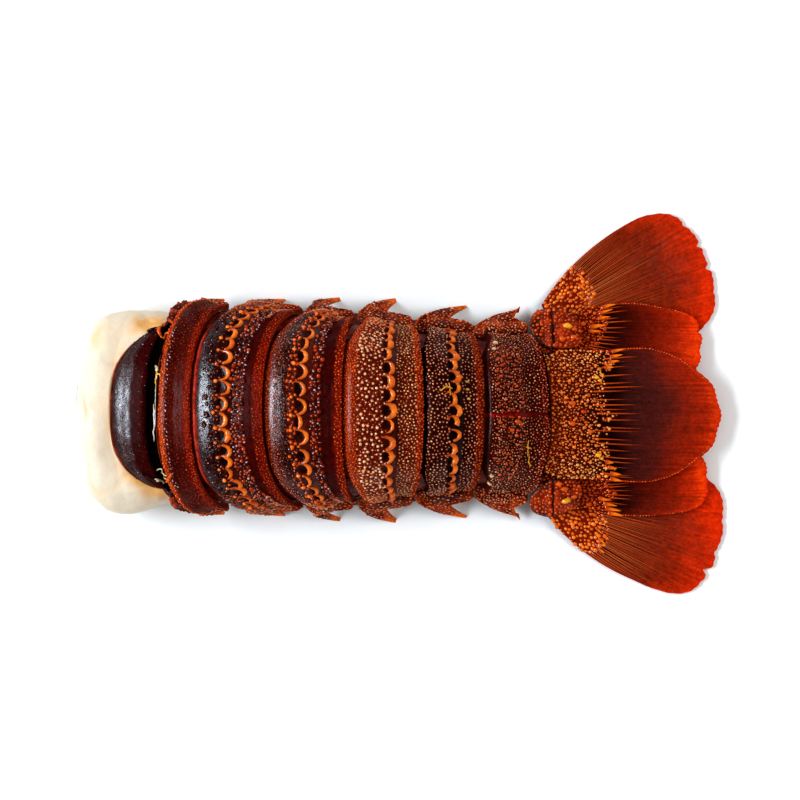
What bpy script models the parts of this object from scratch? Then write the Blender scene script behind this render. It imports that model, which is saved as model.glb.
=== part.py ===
"""A cooked rock lobster tail: the meat, six overlapping shell segments, the underside and the tail fan.

Lengths are millimetres until the mesh is made. The tail lies belly down along X, cut end at -X, fan at +X.
"""

import math

import bpy
import numpy as np
from mathutils import Matrix, Vector

MM = 0.001

# The body is a row of arched sections. Each station is where a section crosses the back's midline:
# its X there, half width, height of the back, height of the widest point, and how far back its sides lean.
BODY_STATIONS = np.array(
    [
        (-76.0, 26.0, 25.5, 9.0, 9.6),
        (-63.0, 26.8, 31.0, 10.5, 10.4),
        (-55.0, 26.4, 33.5, 11.5, 9.8),
        (-36.0, 25.7, 37.6, 13.0, 10.4),
        (-15.0, 24.1, 38.8, 13.4, 3.2),
        (6.0, 22.1, 35.6, 12.4, -3.2),
        (22.2, 20.4, 29.4, 10.4, -4.0),
        (39.1, 20.6, 19.6, 7.4, -6.0),
        (46.0, 20.8, 15.4, 6.4, -6.6),
    ]
)
SECTION_POWER = 2.25
MIDLINE_X = np.array([-85.0, -72.0, -58.0, -35.0, -15.0, 22.0, 40.0, 85.0])
MIDLINE_Y = np.array([-2.3, -2.2, -1.5, -1.5, -2.1, -2.8, -3.3, -3.7])

SHELL = 1.0
HIDDEN_LAP = 3.5
SIDE_GAP = 0.9
REAR_LIFT = 0.45
FRONT_SINK = -1.45
RIDGE_LIFT = 0.45
MEAT_SINK = -3.1

# Each shell segment: its rear edge and scalloped ridge on the midline, then its side plate seen from above,
# as the X of its rear lobe, the notch behind it and the spine's tip, how far the spine flares and how low it is.
SEGMENTS = {
    "tergite_1": dict(rear=-55.1, ridge=-59.5, lobe_x=-45.2, notch_x=-47.2,
                      tip_x=-46.4, flare=1.6, low=4.6, front_lift=0.35),
    "tergite_2": dict(rear=-36.2, ridge=-46.2, lobe_x=-26.6, notch_x=-32.0,
                      tip_x=-30.4, flare=2.6, low=0.6, front_lift=0.9),
    "tergite_3": dict(rear=-15.5, ridge=-25.6, lobe_x=-12.8, notch_x=-20.6,
                      tip_x=-15.9, flare=4.6, low=0.0, front_lift=0.9),
    "tergite_4": dict(rear=5.9, ridge=-3.0, lobe_x=2.9, notch_x=-4.0,
                      tip_x=-1.2, flare=6.6, low=0.0, front_lift=0.8),
    "tergite_5": dict(rear=22.0, ridge=14.2, lobe_x=18.8, notch_x=12.6,
                      tip_x=17.4, flare=7.2, low=0.3, front_lift=0.6),
    "tergite_6": dict(rear=39.1, ridge=31.0, lobe_x=33.3, notch_x=29.6,
                      tip_x=31.4, flare=7.6, low=1.6, front_lift=0.5),
}
# The first segment's smooth front facet, which sat under the body shell.
FACET_FRONT = -76.0
FACET_LENGTH = 10.0
FACET_HALF_WIDTH = 22.0
FACET_GROOVE = -64.9

ARCH_STEPS = 11
PLATE_LEVELS = (0.14, 0.3, 0.46, 0.72, 1.0)
LOBE_LEVEL = 0.16
NOTCH_LEVEL = 0.45
SPINE_TIP_WIDTH = 0.7
FLARE_POWER = 0.62
PLATE_FLATTEN = 0.85

# The block of meat that stands out of the cut end.
MEAT_FRONT = -85.4
MEAT_SHOULDER = -75.5
MEAT_BULGE_POWER = 2.9
MEAT_CORE = -62.0
MEAT_UNDER_FACET = -4.3
MEAT_BARE = -1.6
MEAT_SIDE_BULGE = 2.2
MEAT_RIM_GAP = 0.9
MEAT_RIM_DIP = 0.8
MEAT_NOSE_Z = 10.0
MEAT_REAR = 34.0
MEAT_STEPS = 32
MEAT_FLOOR_U = (-85.4, -70.0, -60.0, -40.0, -15.0, 6.0, 23.0, 40.0)
MEAT_FLOOR_Z = (0.0, 0.0, 3.4, 7.0, 7.6, 6.8, 5.4, 4.6)

UNDERSIDE_FRONT = -57.0
UNDERSIDE_REAR = 33.0
UNDERSIDE_GAP = 0.4
UNDERSIDE_SKIN = 0.7
RIB_X = (-47.0, -28.0, -8.0, 11.0, 26.0)
RIB_DROP = 1.1
RIB_WIDTH = 1.6

SWIMMERET_ROOTS = {"2": -42.0, "3": -24.0, "4": -5.0, "5": 12.0}
SWIMMERET_LENGTH = 14.0
SWIMMERET_WIDTH = 9.0
SWIMMERET_SKIN = 0.8
SWIMMERET_SIDE = 9.5

# The fan slopes down from the last segment to the floor; each pair of blades is one layer of it.
FAN_FRONT = 40.0
FAN_LENGTH = 45.0
FAN_FLOOR = 1.5
FAN_RISE = 13.2
FAN_SPREAD = 22.0
LAYER = 1.5
BLADE = 1.1

TELSON_FRONT = 38.3
TELSON_HALF_WIDTH = 16.9
TELSON_CORNER = 63.0
TELSON_TIP = 84.2
TELSON_BASE_THICKNESS = 3.2

# Each uropod blade: the ends of its base line (inner, outer), the point its rays fan from, its longest ray,
# the directions of its inner and outermost rays in degrees, how much shorter those are, and its edge's bulge.
BLADES = {
    "endopod_left": dict(inner=(41.0, 13.8), outer=(41.5, 20.6), hub=(37.9, 16.7), reach=41.3,
                         angles=(-20.0, 13.0), short=(0.16, 0.19), bulge=3.4, layer=0),
    "endopod_right": dict(inner=(41.0, -20.8), outer=(42.0, -24.6), hub=(37.9, -23.7), reach=43.0,
                          angles=(21.0, -10.8), short=(0.16, 0.27), bulge=2.5, layer=0),
    "exopod_left": dict(inner=(41.6, 15.6), outer=(37.0, 25.4), hub=(38.7, 20.9), reach=45.0,
                        angles=(-4.0, 49.0), short=(0.12, 0.19), bulge=2.4, layer=-1),
    "exopod_right": dict(inner=(41.6, -23.4), outer=(38.8, -30.4), hub=(39.8, -25.9), reach=45.7,
                         angles=(10.0, -43.5), short=(0.13, 0.31), bulge=2.0, layer=-1),
}

# The plate that carries each pair of blades: for rows along X, its inner and outer edges across.
LIMB_PLATES = {
    "protopod_left": ((33.9, 19.2, 21.2), (34.8, 17.6, 23.0), (36.4, 16.2, 24.1), (39.0, 14.2, 24.4),
                      (41.6, 14.0, 24.0), (44.2, 14.0, 23.2), (46.2, 14.5, 21.7), (47.4, 15.8, 19.4)),
    "protopod_right": ((33.9, -25.8, -27.8), (34.8, -24.2, -29.0), (36.4, -22.6, -29.9), (39.0, -20.8, -30.4),
                       (41.6, -20.6, -29.8), (44.2, -20.6, -28.7), (46.2, -21.1, -27.2), (47.4, -22.2, -25.2)),
}
LIMB_PLATE_LIFT = 2.45
LIMB_PLATE_EDGE = 0.7
LIMB_PLATE_DOME = 1.7
LIMB_PLATE_DROP = 2.0
LIMB_ROOT_DROP = 3.0

COLOURS = {
    "meat": (0.86, 0.76, 0.58),
    "shell": (0.16, 0.02, 0.008),
    "fan": (0.32, 0.03, 0.008),
    "underside": (0.55, 0.2, 0.08),
}


def smooth_curve(stations, values, at):
    """A smooth line through the stations' values, with each slope taken from its neighbours."""
    stations, values = np.asarray(stations, float), np.asarray(values, float)
    slopes = np.gradient(values, stations)
    at = np.clip(at, stations[0], stations[-1])
    i = np.clip(np.searchsorted(stations, at) - 1, 0, len(stations) - 2)
    span = stations[i + 1] - stations[i]
    t = (at - stations[i]) / span
    return (
        (2 * t**3 - 3 * t**2 + 1) * values[i]
        + (t**3 - 2 * t**2 + t) * span * slopes[i]
        + (3 * t**2 - 2 * t**3) * values[i + 1]
        + (t**3 - t**2) * span * slopes[i + 1]
    )


def smoothstep(low, high, value):
    t = np.clip((value - low) / (high - low), 0.0, 1.0)
    return t * t * (3 - 2 * t)


def body(u):
    """Half width, back height, side height and lean of the section at midline station u."""
    return [smooth_curve(BODY_STATIONS[:, 0], BODY_STATIONS[:, k], u) for k in (1, 2, 3, 4)]


def midline(x):
    return smooth_curve(MIDLINE_X, MIDLINE_Y, x)


def material(name):
    made = bpy.data.materials.new(name)
    made.use_nodes = True
    shader = made.node_tree.nodes["Principled BSDF"]
    shader.inputs["Base Color"].default_value = (*COLOURS[name], 1.0)
    shader.inputs["Roughness"].default_value = 0.5 if name == "meat" else 0.3
    shader.inputs["Metallic"].default_value = 0.0
    return made


def add_object(name, points, faces, finish):
    """A closed mesh object from points in millimetres, turned so that its faces point out."""
    points = np.asarray(points, float)
    corners = points[np.array(faces)]
    volume = np.einsum("ij,ij->i", corners[:, 0], np.cross(corners[:, 1], corners[:, 2])).sum()
    if volume < 0:
        faces = [face[::-1] for face in faces]
    mesh = bpy.data.meshes.new(name)
    mesh.from_pydata((points * MM).tolist(), [], faces)
    mesh.shade_smooth()
    mesh.set_sharp_from_angle(angle=math.radians(50))
    mesh.materials.append(finish)
    made = bpy.data.objects.new(name, mesh)
    bpy.context.scene.collection.objects.link(made)
    return made


def sheet_faces(rows, columns, top, bottom):
    """Triangles of a sheet solid whose two faces are grids, split alike, and of the rim between them."""
    faces = []
    for i in range(rows - 1):
        for j in range(columns - 1):
            a, b = i * columns + j, (i + 1) * columns + j
            for start, turned in ((top, False), (bottom, True)):
                pair = [(a, b, b + 1), (a, b + 1, a + 1)]
                faces += [tuple(start + k for k in (f[::-1] if turned else f)) for f in pair]
    ring = list(range(columns))
    ring += [i * columns + columns - 1 for i in range(1, rows)]
    ring += [(rows - 1) * columns + j for j in range(columns - 2, -1, -1)]
    ring += [i * columns for i in range(rows - 2, 0, -1)]
    for k, a in enumerate(ring):
        b = ring[(k + 1) % len(ring)]
        faces += [(top + a, top + b, bottom + b), (top + a, bottom + b, bottom + a)]
    return faces


def add_sheet(name, upper, lower, finish):
    """A solid between two grids of points, each rows by columns by 3."""
    rows, columns = upper.shape[:2]
    points = np.concatenate([upper.reshape(-1, 3), lower.reshape(-1, 3)])
    return add_object(name, points, sheet_faces(rows, columns, 0, rows * columns), finish)


def around():
    """Places across a segment: angle from the back's midline, level down the side plate, and side."""
    arch = [(math.radians(90.0 * k / ARCH_STEPS), 0.0) for k in range(ARCH_STEPS + 1)]
    half = arch + [(math.radians(90.0), level) for level in PLATE_LEVELS]
    left = [(angle, level, -1.0) for angle, level in half[:0:-1]]
    right = [(angle, level, 1.0) for angle, level in half]
    return np.array(left + right).T


def arch_point(u, angle, side, offset):
    """A point of the arched body surface, moved outwards by offset."""
    width, back, spring, lean = body(u)
    across = np.sin(angle) ** (2 / SECTION_POWER)
    up = np.abs(np.cos(angle)) ** (2 / SECTION_POWER)
    x = u + lean * (1 - up)
    y = side * (width * across + offset * np.sin(angle))
    z = spring + (back - spring) * up + offset * np.cos(angle)
    return x, y, z


def plate_shift(spec, level, front, rear):
    """How far the front and rear edges of a side plate move from where the arch ends."""
    front_shift = (spec["tip_x"] - SPINE_TIP_WIDTH - front) * level**2.6
    to_notch = smoothstep(LOBE_LEVEL, NOTCH_LEVEL, level)
    to_tip = np.clip((level - NOTCH_LEVEL) / (1 - NOTCH_LEVEL), 0.0, 1.0) ** 1.2
    edge = spec["lobe_x"] + (spec["notch_x"] - spec["lobe_x"]) * to_notch
    edge = edge + (spec["tip_x"] - spec["notch_x"]) * to_tip
    edge = rear + (edge - rear) * smoothstep(0.0, 0.12, level)
    return front_shift, np.maximum(edge, front + front_shift + SPINE_TIP_WIDTH) - rear


def segment_surface(spec, stations, offsets, place):
    """The grid of points of one face of a shell segment: stations along it by places across it."""
    angle, level, side = around()
    first, last = place(stations[0], angle), place(stations[-1], angle)
    front = first + body(first)[3]
    rear = last + body(last)[3]
    front_shift, rear_shift = plate_shift(spec, level, front, rear)
    rows = []
    for station, offset in zip(stations, offsets):
        local = place(station, angle)
        share = (local - first) / (last - first)
        x, y, z = arch_point(local, angle, side, offset)
        width, _, spring, _ = body(local)
        spread = spec["flare"] * (0.86 + 0.14 * share) * level**FLARE_POWER
        relief = offset * (1 - PLATE_FLATTEN * level)
        along = (local + body(local)[3] - front) / (rear - front)
        x = np.where(level > 0, front + along * (rear - front), x)
        x = x + front_shift * (1 - along) + rear_shift * along
        y = np.where(level > 0, side * (width + relief + spread), y) + midline(x)
        z = np.where(level > 0, spring - (spring - spec["low"]) * level, z)
        rows.append(np.stack([x, y, z], axis=1))
    return np.array(rows)


def add_segment(name, spec, previous_rear, finish):
    """One overlapping shell segment with its side plates."""
    ridge, rear = spec["ridge"], spec["rear"]
    front = previous_rear - HIDDEN_LAP

    def place(station, angle):
        start = front + (HIDDEN_LAP + SIDE_GAP) * smoothstep(math.radians(35), math.radians(86), angle)
        return start + (rear - start) * (station - front) / (rear - front)

    stations = [front, previous_rear + 0.1, previous_rear + 1.5, previous_rear + 4.2,
                ridge - 1.4, ridge, ridge + 1.6, rear - 2.2, rear]
    lift = spec["front_lift"]
    offsets = [FRONT_SINK - 0.1, FRONT_SINK, 0.1, lift, lift * 0.6, RIDGE_LIFT, -0.05, 0.15, REAR_LIFT]
    outer = segment_surface(spec, stations, offsets, place)
    inner = segment_surface(spec, stations, [offset - SHELL for offset in offsets], place)
    add_sheet(name, outer, inner, finish)


def facet_front(angle):
    """The first segment's front edge: a rounded facet on the back, then close along the raised ridge."""
    width = body(np.array(FACET_GROOVE))[0]
    across = np.clip(width * np.sin(angle) ** (2 / SECTION_POWER) / FACET_HALF_WIDTH, 0.0, 1.0)
    return FACET_FRONT + FACET_LENGTH * (1 - np.sqrt(np.clip(1 - across**3.2, 0.0, 1.0)))


def add_first_segment(name, spec, finish):
    rear = spec["rear"]

    def place(station, angle):
        start = facet_front(angle)
        if station >= FACET_GROOVE:
            return np.full_like(angle, station)
        return start + (FACET_GROOVE - start) * (station - FACET_FRONT) / (FACET_GROOVE - FACET_FRONT)

    stations = [FACET_FRONT, FACET_FRONT + 1.2, FACET_FRONT + 3.2, FACET_FRONT + 7.0, FACET_FRONT + 10.0,
                FACET_GROOVE, FACET_GROOVE + 1.3, rear - 4.2, rear]
    offsets = [-2.6, -1.4, -0.4, -0.3, -0.9, -1.3, 0.6, spec["front_lift"], REAR_LIFT]
    length = (FACET_GROOVE - facet_front(around()[0])) / (FACET_GROOVE - FACET_FRONT)
    groove = stations.index(FACET_GROOVE)
    for k in range(groove):
        offsets[k] = offsets[groove] + (offsets[k] - offsets[groove]) * (0.15 + 0.85 * length)
    outer = segment_surface(spec, stations, offsets, place)
    inner = segment_surface(spec, stations, [offset - SHELL for offset in offsets], place)
    add_sheet(name, outer, inner, finish)


def meat_point(u, turn, sink):
    """A point on the meat: over its arched back, or on its flat underside past a quarter turn."""
    side = 1.0 if turn <= math.pi else -1.0
    angle = min(turn, 2 * math.pi - turn)
    arch = np.array(min(angle, math.pi / 2))
    bulge = np.clip((MEAT_SHOULDER - u) / (MEAT_SHOULDER - MEAT_FRONT), 0.0, 0.97)
    taper = (1 - bulge**MEAT_BULGE_POWER) ** (1 / MEAT_BULGE_POWER)
    station = np.array(max(u, MEAT_SHOULDER))
    _, _, spring, lean = (float(value) for value in body(station))
    low = float(np.interp(u, MEAT_FLOOR_U, MEAT_FLOOR_Z))
    x, y, z = (float(value) for value in arch_point(station, arch, side, sink))
    at_nose = float(smoothstep(MEAT_FRONT, MEAT_SHOULDER + 8.0, u))
    x = u + (x - float(station)) * (0.2 + 0.8 * at_nose)
    y *= taper
    if angle > math.pi / 2:
        drop = math.sin(angle - math.pi / 2)
        y *= math.cos(angle - math.pi / 2) ** 0.45
        x -= lean * 0.8 * drop * at_nose
        z = spring - (spring - low) * min(1.0, 1.3 * drop)
    z = MEAT_NOSE_Z + (z - MEAT_NOSE_Z) * (0.35 + 0.65 * taper)
    return (x, y + float(midline(x)), max(z, low))


def add_meat(name, finish):
    """The tail meat: a blunt block at the cut end, and the core that fills the shell."""
    steps = MEAT_STEPS
    turns = [2 * math.pi * k / steps for k in range(steps)]
    edges = [float(facet_front(np.array(min(turn, 2 * math.pi - turn, math.pi / 2)))) for turn in turns]
    bare = [MEAT_BARE + MEAT_SIDE_BULGE * math.sin(turn) ** 4 for turn in turns]
    loops = []
    for share in (0.012, 0.07, 0.19, 0.38, 0.6, 0.82):
        reach = [MEAT_FRONT + (edge - MEAT_RIM_GAP - MEAT_FRONT) * share for edge in edges]
        loops.append([meat_point(u, turn, sink) for u, turn, sink in zip(reach, turns, bare)])
    rim = MEAT_BARE - MEAT_RIM_DIP
    loops.append([meat_point(edge - MEAT_RIM_GAP, turn, rim) for edge, turn in zip(edges, turns)])
    for share in (0.0, 0.5):
        reach = [edge + (MEAT_CORE - edge) * share - 0.1 for edge in edges]
        loops.append([meat_point(u, turn, MEAT_UNDER_FACET) for u, turn in zip(reach, turns)])
    loops.append([meat_point(MEAT_CORE, turn, MEAT_UNDER_FACET) for turn in turns])
    for u in (-57.0, *np.linspace(-50.0, MEAT_REAR, 9)):
        loops.append([meat_point(u, turn, MEAT_SINK) for turn in turns])
    points = [p for loop in loops for p in loop]
    faces = []
    for i in range(len(loops) - 1):
        for k in range(steps):
            a, b = i * steps + k, i * steps + (k + 1) % steps
            faces += [(a, b, b + steps), (a, b + steps, a + steps)]
    for start, turned in ((0, False), ((len(loops) - 1) * steps, True)):
        ring = np.array(points[start:start + steps])
        centre = len(points)
        points.append(tuple(ring.mean(axis=0)))
        for k in range(steps):
            face = (centre, start + (k + 1) % steps, start + k)
            faces.append(face[::-1] if turned else face)
    add_object(name, points, faces, finish)


def meat_floor(x):
    return np.interp(x, MEAT_FLOOR_U, MEAT_FLOOR_Z)


def add_underside(name, finish):
    """The skin under the meat, stiffened by a cross rib in each segment."""
    xs = sorted({UNDERSIDE_FRONT, UNDERSIDE_FRONT + 0.6, UNDERSIDE_FRONT + 2.2, UNDERSIDE_REAR - 2.2,
                 UNDERSIDE_REAR - 0.6, UNDERSIDE_REAR, *[r + d for r in RIB_X for d in (-RIB_WIDTH, 0.0, RIB_WIDTH)]})
    middle = 0.5 * (UNDERSIDE_FRONT + UNDERSIDE_REAR)
    across = np.linspace(-1.0, 1.0, 9)
    upper, lower = [], []
    for x in xs:
        width, _, _, lean = body(np.array(x))
        end = 0.99 * abs(x - middle) / (UNDERSIDE_REAR - middle)
        half = (float(width) - 5.4) * (1 - end**9) ** 0.45
        y = half * across + float(midline(x + float(lean)))
        rib = max(math.exp(-(((x - r) / (0.7 * RIB_WIDTH)) ** 2)) for r in RIB_X)
        top = float(meat_floor(x)) - UNDERSIDE_GAP
        row_x = np.full_like(across, x + float(lean))
        below = top - UNDERSIDE_SKIN - RIB_DROP * rib * (1 - 0.5 * across**2)
        upper.append(np.stack([row_x, y, np.full_like(across, top)], axis=1))
        lower.append(np.stack([row_x, y, below], axis=1))
    add_sheet(name, np.array(upper), np.array(lower), finish)


def add_swimmeret(name, root_x, side, finish):
    """A soft paddle folded back under the tail."""
    along = np.linspace(0.0, 1.0, 7)
    across = np.linspace(-1.0, 1.0, 5)
    lean = float(body(np.array(root_x))[3])
    root_z = float(meat_floor(root_x)) - UNDERSIDE_GAP - UNDERSIDE_SKIN - RIB_DROP - 0.9
    rows = []
    for a in along:
        half = 0.5 * SWIMMERET_WIDTH * math.sin(math.pi * (0.1 + 0.83 * a)) ** 0.7
        x = root_x + lean + SWIMMERET_LENGTH * a * 0.96
        y = float(midline(x)) + side * (SWIMMERET_SIDE + 3.2 * a) + half * across
        z = root_z - (root_z - 1.9) * a**0.8 + 0.35 * np.cos(across * 2.0)
        rows.append(np.stack([np.full_like(across, x), y, z], axis=1))
    upper = np.array(rows)
    lower = upper - np.array([0.0, 0.0, SWIMMERET_SKIN])
    add_sheet(name, upper, lower, finish)


def fan_height(x, y):
    """Height of the fan's middle layer: high beside the last segment, and near the floor at its edge."""
    run = np.clip((x - FAN_FRONT) / FAN_LENGTH, -0.2, 1.0)
    off = np.abs(y - midline(x))
    return FAN_FLOOR + FAN_RISE * (1 - run) ** 1.25 * np.exp(-((off / FAN_SPREAD) ** 3.2))


def add_telson(name, finish):
    """The middle blade: a hard granular plate that thins to a rounded, flexible end."""
    across = np.linspace(-1.0, 1.0, 19)
    along = np.array([0.0, 0.06, 0.16, 0.28, 0.38, 0.44, 0.62, 0.82, 1.0])
    front = TELSON_FRONT - 2.0 * np.abs(across) ** 2.5
    margin = TELSON_CORNER + (TELSON_TIP - TELSON_CORNER) * (1 - np.abs(across) ** 2.2) ** 0.62
    margin += 0.3 * np.cos(across * 14.0)
    upper, lower = [], []
    for a in along:
        x = front + a * (margin - front)
        half = TELSON_HALF_WIDTH + 0.9 * smoothstep(50.0, 62.0, x) - 1.6 * (1 - smoothstep(38.0, 42.0, x))
        y = midline(x) + across * half
        hard = 1 - smoothstep(0.34, 0.44, a)
        top = fan_height(x, y) + LAYER + BLADE + 0.7 * hard * (1 - 0.6 * across**4)
        inner = (1 - smoothstep(0.3, 0.5, np.abs(across))) * (1 - smoothstep(0.12, 0.26, a))
        bottom = fan_height(x, y) + LAYER - (TELSON_BASE_THICKNESS - BLADE) * inner
        upper.append(np.stack([x, y, top], axis=1))
        lower.append(np.stack([x, y, bottom], axis=1))
    add_sheet(name, np.array(upper), np.array(lower), finish)


def blade_outline(spec, across):
    """Points of a blade's rim, from its inner ray at -1 to its outermost ray at +1."""
    low, high = (math.radians(angle) for angle in spec["angles"])
    angle = low + (high - low) * (across + 1) / 2
    short = np.where(across < 0, spec["short"][0], spec["short"][1])
    reach = spec["reach"] * (1 - short * np.abs(across) ** 4) + 0.45 * np.abs(np.sin(across * 7.0)) - 0.2
    return spec["hub"][0] + reach * np.cos(angle), spec["hub"][1] + reach * np.sin(angle)


def add_blade(name, spec, finish):
    """A uropod blade: rays spread from its base line to its scalloped rim."""
    across = np.linspace(-1.0, 1.0, 19)
    along = np.array([0.0, 0.08, 0.22, 0.36, 0.44, 0.6, 0.8, 1.0])
    rim_x, rim_y = blade_outline(spec, across)
    share = (across + 1) / 2
    base_x = spec["inner"][0] + (spec["outer"][0] - spec["inner"][0]) * share
    base_y = spec["inner"][1] + (spec["outer"][1] - spec["inner"][1]) * share
    turn = 1.0 if spec["angles"][1] > spec["angles"][0] else -1.0
    run_x, run_y = rim_x - base_x, rim_y - base_y
    length = np.hypot(run_x, run_y)
    upper, lower = [], []
    for a in along:
        swell = spec["bulge"] * 4 * a * (1 - a) * across * np.abs(across)
        x = base_x + a * run_x - turn * swell * run_y / length
        y = base_y + a * run_y + turn * swell * run_x / length
        hard = 1 - smoothstep(0.32, 0.46, a)
        open_side = smoothstep(0.15, 0.55, across)
        lift = 0.7 * hard * open_side * math.sin(math.pi * min(1.0, 0.2 + a))
        height = fan_height(x, y) + LAYER * spec["layer"]
        upper.append(np.stack([x, y, height + BLADE + lift], axis=1))
        lower.append(np.stack([x, y, height], axis=1))
    add_sheet(name, np.array(upper), np.array(lower), finish)


def add_limb_plate(name, rows, finish):
    """The domed plate of a limb, over the bases of its two blades and with its root in front of them."""
    across = np.linspace(0.0, 1.0, 8)
    upper, lower = [], []
    for k, (row_x, inner, outer) in enumerate(rows):
        x = np.full_like(across, row_x)
        y = inner + (outer - inner) * across
        along = math.sin(math.pi * (k + 0.5) / len(rows)) ** 0.5
        dome = along * np.sin(math.pi * (0.06 + 0.88 * across)) ** 0.5
        base = fan_height(x, y) + LIMB_PLATE_LIFT - LIMB_PLATE_DROP * (1 - smoothstep(37.0, 41.0, x))
        root = 1 - smoothstep(35.2, 36.4, x)
        upper.append(np.stack([x, y, base + LIMB_PLATE_EDGE + LIMB_PLATE_DOME * dome], axis=1))
        lower.append(np.stack([x, y, base - LIMB_ROOT_DROP * root], axis=1))
    add_sheet(name, np.array(upper), np.array(lower), finish)


def stand_on_origin():
    """Moves every mesh alike, so that the origin is the middle of the whole tail's footprint."""
    meshes = [made.data for made in bpy.data.objects]
    points = np.array([vertex.co for mesh in meshes for vertex in mesh.vertices])
    low, high = points.min(axis=0), points.max(axis=0)
    shift = Vector((-(low[0] + high[0]) / 2, -(low[1] + high[1]) / 2, -low[2]))
    for mesh in meshes:
        mesh.transform(Matrix.Translation(shift))


def main():
    for old in list(bpy.data.objects):
        bpy.data.objects.remove(old)
    meat, shell, fan, skin = (material(name) for name in ("meat", "shell", "fan", "underside"))
    add_meat("meat", meat)
    names = list(SEGMENTS)
    add_first_segment(names[0], SEGMENTS[names[0]], shell)
    for previous, name in zip(names, names[1:]):
        add_segment(name, SEGMENTS[name], SEGMENTS[previous]["rear"], shell)
    add_underside("underside", skin)
    for segment, root_x in SWIMMERET_ROOTS.items():
        for side_name, side in (("left", 1.0), ("right", -1.0)):
            add_swimmeret(f"swimmeret_{segment}_{side_name}", root_x, side, skin)
    add_telson("telson", fan)
    for name, spec in BLADES.items():
        add_blade(name, spec, fan)
    for name, rows in LIMB_PLATES.items():
        add_limb_plate(name, rows, shell)
    stand_on_origin()


main()
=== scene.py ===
"""Looks of a cooked rock lobster tail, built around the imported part.

Lengths are millimetres in the tail's own plan until a mesh is made. Each surface repeats the part's formula
at a fine step, adds its relief and its tints, and carries the granules, beads and spines that grow on it.
"""

import math

import bpy
import numpy as np
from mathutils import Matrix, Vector


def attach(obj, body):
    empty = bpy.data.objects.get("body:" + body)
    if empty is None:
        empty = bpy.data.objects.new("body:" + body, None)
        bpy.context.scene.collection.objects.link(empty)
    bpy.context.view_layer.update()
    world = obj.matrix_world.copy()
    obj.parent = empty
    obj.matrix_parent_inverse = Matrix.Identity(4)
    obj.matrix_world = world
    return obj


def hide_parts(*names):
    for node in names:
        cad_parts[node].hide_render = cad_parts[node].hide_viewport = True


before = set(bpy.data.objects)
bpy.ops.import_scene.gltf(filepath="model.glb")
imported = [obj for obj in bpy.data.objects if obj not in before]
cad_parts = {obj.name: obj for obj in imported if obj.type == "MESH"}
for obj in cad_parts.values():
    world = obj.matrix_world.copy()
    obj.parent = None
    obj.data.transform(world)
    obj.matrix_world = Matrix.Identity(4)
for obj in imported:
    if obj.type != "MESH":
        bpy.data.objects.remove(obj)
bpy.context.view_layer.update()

MM = 0.001
SEED = 471

# The photograph's pixels: the size of one, and the pixel over the plan's origin.
PIXEL = 0.262
PIXEL_X = 401.0
PIXEL_Y = 401.5
IMAGE_SIZE = 800

# Stations of the body: X on the back's midline, half width, back height, side height and lean of the sides.
BODY_STATIONS = np.array(
    [
        (-76.0, 26.0, 25.5, 9.0, 9.6),
        (-63.0, 26.8, 31.0, 10.5, 10.4),
        (-55.0, 26.4, 33.5, 11.5, 9.8),
        (-36.0, 25.7, 37.6, 13.0, 10.4),
        (-15.0, 24.1, 38.8, 13.4, 3.2),
        (6.0, 22.1, 35.6, 12.4, -3.2),
        (22.2, 20.4, 29.4, 10.4, -4.0),
        (39.1, 20.6, 19.6, 7.4, -6.0),
        (46.0, 20.8, 15.4, 6.4, -6.6),
    ]
)

# How boxy the section is, and the middle line's Y at places along X.
SECTION_POWER = 2.25
MIDLINE_X = np.array([-85.0, -72.0, -58.0, -35.0, -15.0, 22.0, 40.0, 85.0])
MIDLINE_Y = np.array([-2.3, -2.2, -1.5, -1.5, -2.1, -2.8, -3.3, -3.7])

# The shell: its thickness, how far a segment runs on under the one before it, the gap at its sides, and how
# high its edges and its ridge stand over the body.
SHELL = 1.0
HIDDEN_LAP = 3.5
SIDE_GAP = 0.9
REAR_LIFT = 0.45
FRONT_SINK = -1.45
RIDGE_LIFT = 0.45
REAR_ROUND = 0.4

# Each segment's rear edge and ridge along the midline; its side plate's lobe, notch and spine tip along X;
# how far the plate spreads, how low its tip is, and how far its front half stands out.
SEGMENTS = {
    "tergite_1": dict(rear=-55.1, lobe_x=-45.2, notch_x=-47.2,
                      tip_x=-46.4, flare=1.6, low=4.6, front_lift=0.35),
    "tergite_2": dict(rear=-36.2, ridge=-46.2, lobe_x=-26.6, notch_x=-32.0,
                      tip_x=-30.4, flare=2.6, low=0.6, front_lift=0.9),
    "tergite_3": dict(rear=-15.5, ridge=-25.6, lobe_x=-12.8, notch_x=-20.6,
                      tip_x=-15.9, flare=4.6, low=0.0, front_lift=0.9),
    "tergite_4": dict(rear=5.9, ridge=-3.0, lobe_x=2.9, notch_x=-4.0,
                      tip_x=-1.2, flare=6.6, low=0.0, front_lift=0.8),
    "tergite_5": dict(rear=22.0, ridge=14.2, lobe_x=18.8, notch_x=12.6,
                      tip_x=17.4, flare=7.2, low=0.3, front_lift=0.6),
    "tergite_6": dict(rear=39.1, ridge=31.0, lobe_x=33.3, notch_x=29.6,
                      tip_x=31.4, flare=7.6, low=1.6, front_lift=0.5),
}

# The smooth facet in front of the first segment's ridge, and the groove between them.
FACET_FRONT = -76.0
FACET_LENGTH = 10.0
FACET_HALF_WIDTH = 22.0
FACET_GROOVE = -64.9
GROOVE_DIP = 0.9

# The fine grids: millimetres between rows, rows to a coarse row, steps over half the arch and down a plate.
ROW_STEP = 0.3
ROW_GROUP = 4
ARCH_STEPS = 96
PLATE_STEPS = 28

# Side plates: levels of lobe and notch from 0 at the arch to 1 at the tip, the tip's width, and their bend.
LOBE_LEVEL = 0.16
NOTCH_LEVEL = 0.45
SPINE_TIP_WIDTH = 0.35
FLARE_POWER = 0.62
PLATE_FLATTEN = 0.85

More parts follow.
